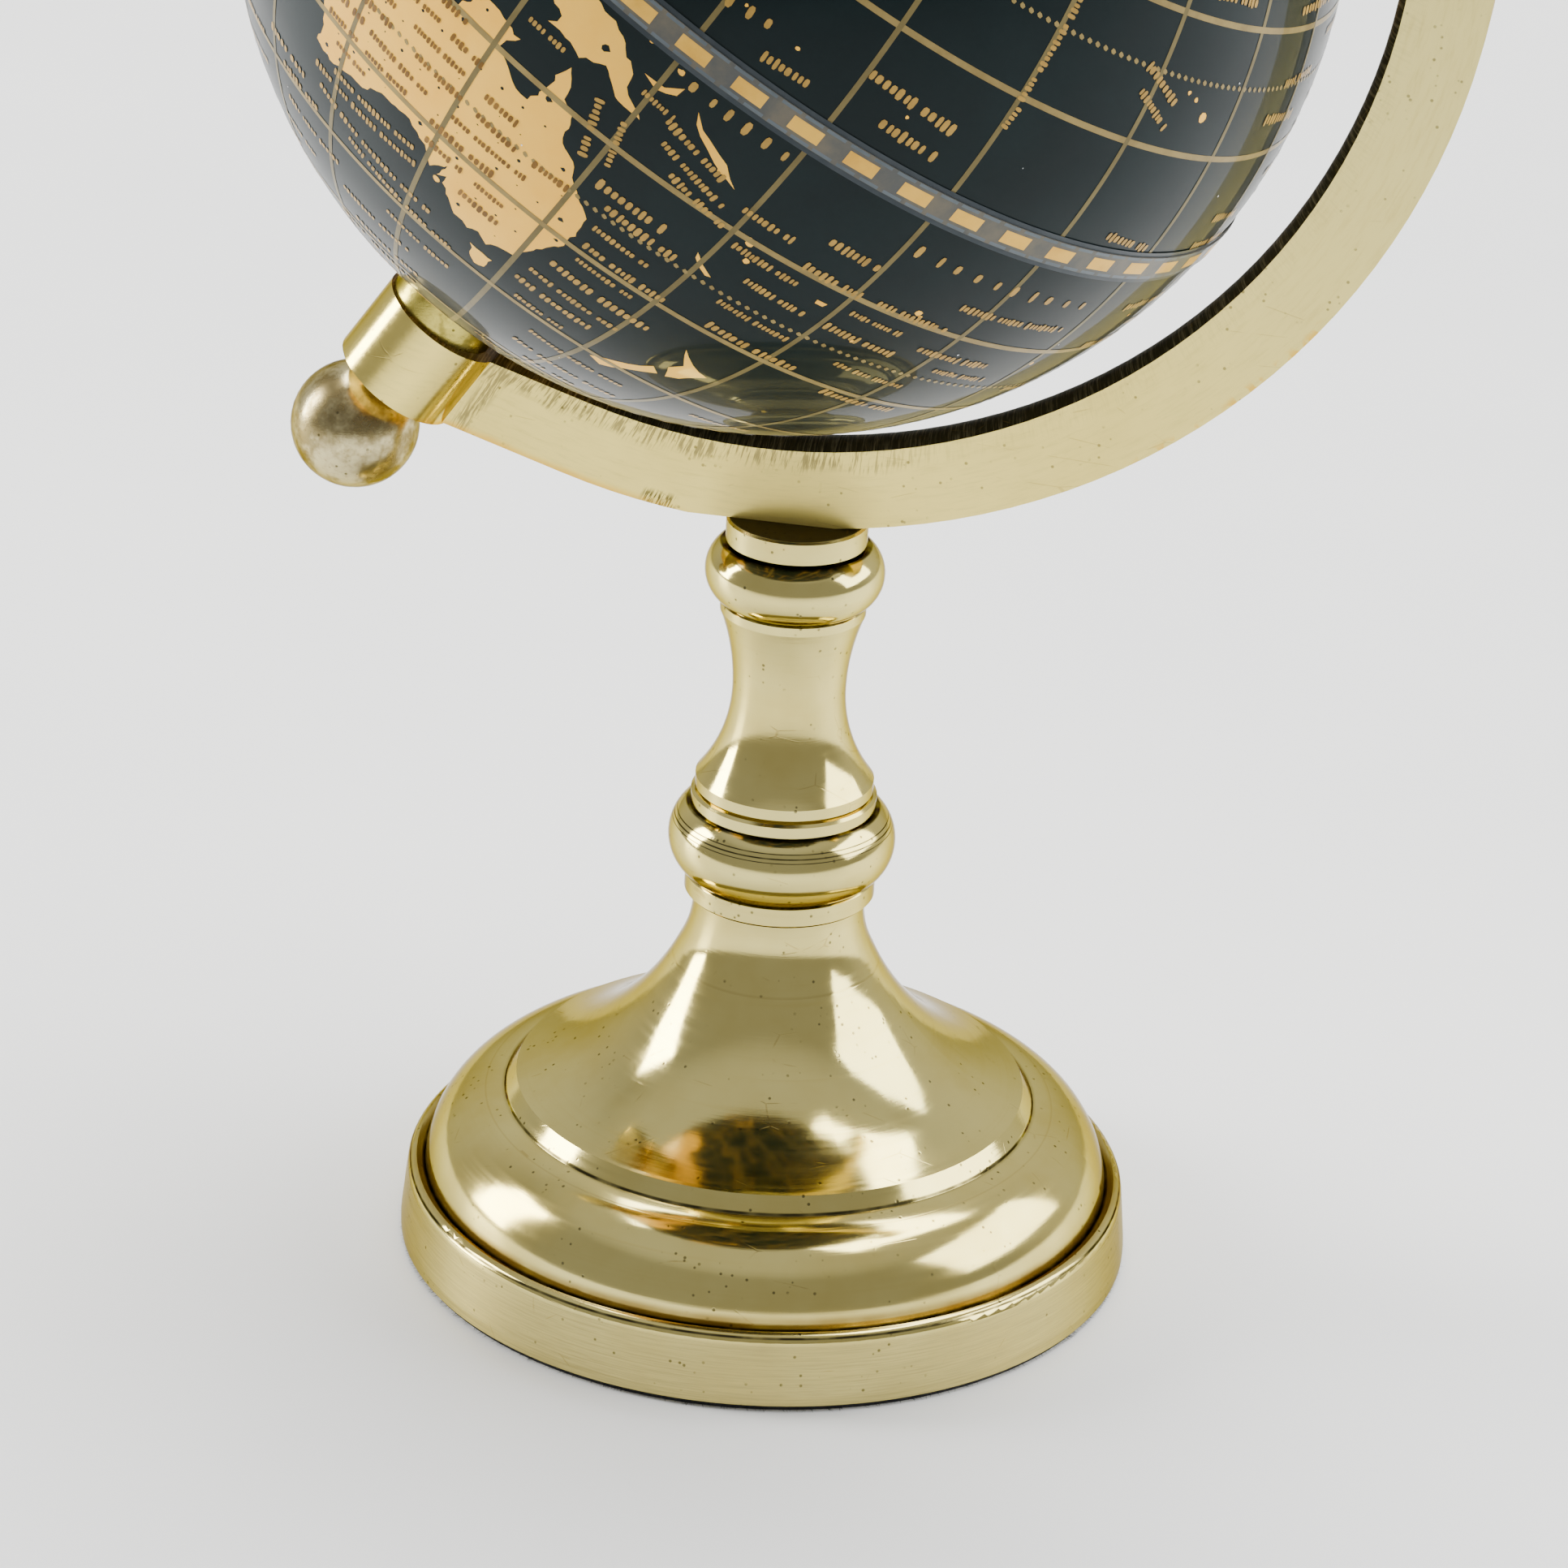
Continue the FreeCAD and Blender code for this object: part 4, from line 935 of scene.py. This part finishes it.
def build_land_names():
    rng = random.Random(7)
    blobs = []
    for name, outline in LANDS.items():
        ring = [Vector(p) for p in outline]
        low_lat = min(p.y for p in ring)
        high_lat = max(p.y for p in ring)
        west = min(p.x for p in ring)
        east = max(p.x for p in ring)
        lat = low_lat + LAND_ROW_GAP * 0.6
        while lat < min(high_lat, NORTH_LIMIT):
            stretch = max(math.cos(math.radians(lat)), 0.3)
            lon = west + rng.uniform(0, 4)
            while lon < east:
                length = rng.uniform(*LAND_LENGTHS) / stretch
                checks = [Vector((lon + length * part / 4, lat)) for part in range(-1, 6)]
                if all(inside(spot, ring) for spot in checks):
                    tall = rng.choice(LAND_HEIGHTS) * MM
                    blobs += row((lon, lat), (lon + length, lat + rng.uniform(-0.3, 0.3)), tall, rng)
                    lon += length
                lon += rng.uniform(*LAND_GAPS) / stretch
            lat += LAND_ROW_GAP
    ball_piece("map_land_names", blobs, INK)


def build_dust():
    """Specks of dust all over the ball."""
    rng = random.Random(12)
    blobs = []
    for _ in range(SPECKS):
        centre = Vector([rng.gauss(0, 1) for _ in range(3)]).normalized()
        size = rng.uniform(*SPECK_SIZES) * MM
        blobs.append(pill(centre, centre.orthogonal().normalized(), size, size, LABEL_LIFT + 0.01 * MM))
    ball_piece("map_dust", blobs, DUST)


# ---------------- equator tape

BAND_RISE = 0.3 * MM
BAND_HALF = 1.9 * MM
DASH_COUNT = 55
DASH_LONG = 4.7 * MM
DASH_WIDE = 1.95 * MM
EDGE_INSET = 0.05 * MM
EDGE_REACH = 0.5 * MM
FILM_WIDE = 0.75 * MM


def belt(low, high, lift, start=0.0, sweep=360.0, steps=240):
    """Part of a belt round the ball between two distances from the equator."""
    points = []
    for number in range(steps + 1):
        turn = math.radians(start + sweep * number / steps)
        around = FRONT * math.cos(turn) + EAST * math.sin(turn)
        for height in (low, high):
            points.append(BALL_CENTRE + around * (BALL_RADIUS + lift) + POLE * height)
    faces = [[2 * i, 2 * i + 2, 2 * i + 3, 2 * i + 1] for i in range(steps)]
    return points, faces


def build_equator():
    dashes = []
    span = math.degrees(DASH_LONG / BALL_RADIUS)
    for number in range(DASH_COUNT):
        start = 360 * number / DASH_COUNT
        dashes.append(belt(-DASH_WIDE / 2, DASH_WIDE / 2, BAND_RISE + 0.03 * MM, start, span, 6))
    ball_piece("equator_dashes", dashes, DASH)
    edges = []
    films = []
    for sign in (-1, 1):
        near, far = sorted((sign * (BAND_HALF - EDGE_INSET), sign * (BAND_HALF - EDGE_REACH)))
        edges.append(belt(near, far, BAND_RISE + 0.02 * MM))
        near, far = sorted((sign * BAND_HALF, sign * (BAND_HALF + FILM_WIDE)))
        films.append(belt(near, far, LABEL_LIFT + 0.02 * MM))
    ball_piece("equator_edges", edges, TAPE_EDGE)
    ball_piece("equator_film", films, TAPE_FILM)


build_labels()
build_land_names()
build_dust()
build_equator()

# ---------------- give the CAD nodes their materials

nodes = frame["nodes"]


def dress(node, material):
    mesh = nodes[node].data
    mesh.materials.clear()
    mesh.materials.append(material)


def bottom_of(node):
    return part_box(node)[0].z


def top_of(node):
    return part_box(node)[1].z


def reach_of(node):
    low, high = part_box(node)
    return (high.y - low.y) / 2


FOOT_RADIUS = reach_of("base_bell")
JOINT_WIDTH = 0.32 * MM
LIP_HEIGHT = 10.4 * MM
GUTTER_RADIUS = FOOT_RADIUS - 3.2 * MM
GUTTER_HEIGHT = 11.3 * MM
STEP_HEIGHT = 23.7 * MM

dress("base_bell", turned_brass(
    "bell_brass", [(top_of("base_bell"), JOINT_WIDTH), (STEP_HEIGHT, 0.3 * MM), (GUTTER_HEIGHT, 0.22 * MM)],
    LIP_HEIGHT, (GUTTER_RADIUS, GUTTER_HEIGHT + 0.5 * MM, 1.9 * MM)))
for node in ("lower_collar", "lower_bead", "waist_column", "upper_bead"):
    ends = [(bottom_of(node), JOINT_WIDTH), (top_of(node), JOINT_WIDTH)]
    if node == "lower_bead":
        ends += [(69.2 * MM, 0.11 * MM), (68.6 * MM, 0.14 * MM), (68.05 * MM, 0.09 * MM)]
    dress(node, turned_brass(node + "_brass", ends))
# The top face of the seat gets painted shade under the arm.
dress("top_collar", turned_brass(
    "seat_brass", [(bottom_of("top_collar"), JOINT_WIDTH)], None, None, top_of("top_collar"), 0.2))

FINIAL = aged_brass("finial_brass", (0.56, 0.485, 0.26), (0.24, 0.19, 0.085), 0.75, 0.19)
SPACER = aged_brass("spacer_brass", (0.55, 0.46, 0.10), (0.22, 0.18, 0.035), 0.7, 0.24, True)
STEEL = plain("zinc_steel", (0.6, 0.61, 0.62), (0.42, 0.43, 0.45), 0.35, 1.0, 500.0)
FELT = plain("black_felt", (0.010, 0.010, 0.012), (0.028, 0.028, 0.032), 0.95, 0.0, 2600.0, 0.9)
BOARD = plain("fibre_board", (0.30, 0.22, 0.14), (0.20, 0.14, 0.085), 0.9, 0.0, 700.0)
PLASTIC = plain("bare_plastic", (0.70, 0.68, 0.62), (0.62, 0.60, 0.54), 0.5, 0.0, 400.0)
TUBE = plain("grey_tube", (0.25, 0.26, 0.28), (0.19, 0.20, 0.22), 0.5, 0.0, 400.0)
for node, material in {
    "meridian_arm": arm_brass("arm_brass"), "pole_washers": SPACER, "finial_nuts": FINIAL,
    "south_spacer": SPACER, "north_spacer": SPACER, "axle_rod": STEEL, "tie_rod": STEEL,
    "base_washer": STEEL, "base_nut": STEEL, "felt_pad": FELT, "base_cover": BOARD,
    "globe_shell_north": SEA, "globe_shell_south": SEA, "equator_band": TAPE, "joining_ring": PLASTIC,
    "core_tube": TUBE, "south_bushing": PLASTIC, "north_bushing": PLASTIC,
}.items():
    dress(node, material)


FIBRES = 1500
FIBRE_HEIGHTS = (0.1, 0.95)
FIBRE_REACHES = (0.5, 1.35)
FIBRE_HALVES = (0.035, 0.07)
FLOOR_HALF = 3.0
AIM = (0, 0, 0.12)


def build_fuzz():
    """Fibres that stand out from the felt's cut edge."""
    rng = random.Random(3)
    edge = reach_of("felt_pad")
    points = []
    faces = []
    for _ in range(FIBRES):
        turn = rng.uniform(0, 2 * math.pi)
        out = Vector((math.cos(turn), math.sin(turn), 0))
        side = Vector((-out.y, out.x, 0))
        root = out * (edge - 0.1 * MM) + Vector((0, 0, rng.uniform(*FIBRE_HEIGHTS) * MM))
        tip = root + out * rng.uniform(*FIBRE_REACHES) * MM + side * rng.gauss(0, 0.45) * MM
        tip.z = max(0.05 * MM, tip.z + rng.gauss(-0.1, 0.25) * MM)
        thick = rng.uniform(*FIBRE_HALVES) * MM
        base = len(points)
        points += [root + side * thick, root - side * thick, root + Vector((0, 0, thick)), tip]
        faces += [[base, base + 1, base + 3], [base + 1, base + 2, base + 3], [base + 2, base, base + 3]]
    piece = new_object("felt_fuzz", points, faces, FELT, "stand", False)


build_fuzz()

# ---------------- floor, light and camera


def build_stage():
    material, shader, n, place = new_material("pale_floor")
    soft = n.noise(place, 3.0, 4.0, 0.6)
    base = n.mix(n.ramp(soft, 0.3, 0.7), (0.80, 0.80, 0.79), (0.74, 0.745, 0.74))
    n.link(base, shader.inputs["Base Color"])
    fix(shader, Roughness=0.45)
    corners = ((-1, -1), (1, -1), (1, 1), (-1, 1))
    points = [(x * FLOOR_HALF, y * FLOOR_HALF, 0) for x, y in corners]
    floor = new_object("floor", points, [[0, 1, 2, 3]], material, None, False)


def area_light(name, place, size, power, colour=(1, 1, 1)):
    data = bpy.data.lights.new(name, "AREA")
    data.shape = "RECTANGLE"
    data.size, data.size_y = size
    data.energy = power
    data.color = colour
    lamp = bpy.data.objects.new(name, data)
    lamp.location = place
    lamp.rotation_euler = (Vector(AIM) - Vector(place)).to_track_quat("-Z", "Y").to_euler()
    bpy.context.scene.collection.objects.link(lamp)


def build_lights():
    world = bpy.data.worlds.new("studio")
    world.use_nodes = True
    bpy.context.scene.world = world
    n = Nodes(world.node_tree)
    background = world.node_tree.nodes["Background"]
    direction = n.add("ShaderNodeTexCoord").outputs["Generated"]
    x, y, z = n.split(direction)
    behind = n.ramp(y, 0.0, 0.9, 0.42, 0.95)
    overhead = n.ramp(z, 0.42, 0.85, 0.0, 0.70)
    level = n.larger(behind, overhead)
    n.link(n.mix(level, (0.0, 0.0, 0.0), (1.0, 1.0, 1.0)), background.inputs["Color"])
    background.inputs["Strength"].default_value = 1.05
    area_light("left_window", (-1.6, 0.0, 0.65), (0.5, 1.1), 46.0, (1.0, 0.99, 0.97))
    area_light("right_window", (1.6, 0.35, 0.95), (1.6, 1.1), 42.0, (0.98, 0.99, 1.0))
    area_light("top_panel", (0.1, 0.5, 2.0), (1.8, 1.3), 84.0)


def build_camera():
    data = bpy.data.cameras.new("camera")
    data.sensor_width = 36.0
    data.lens = LENS
    camera = bpy.data.objects.new("camera", data)
    turn = Euler((math.radians(90 - LOOK_DOWN), 0, math.radians(LOOK_LEFT))).to_matrix().to_4x4()
    roll = Matrix.Rotation(math.radians(ROLL), 4, "Z")
    camera.matrix_world = Matrix.Translation(EYE) @ turn @ roll
    bpy.context.scene.collection.objects.link(camera)
    bpy.context.scene.camera = camera


build_stage()
build_lights()
build_camera()
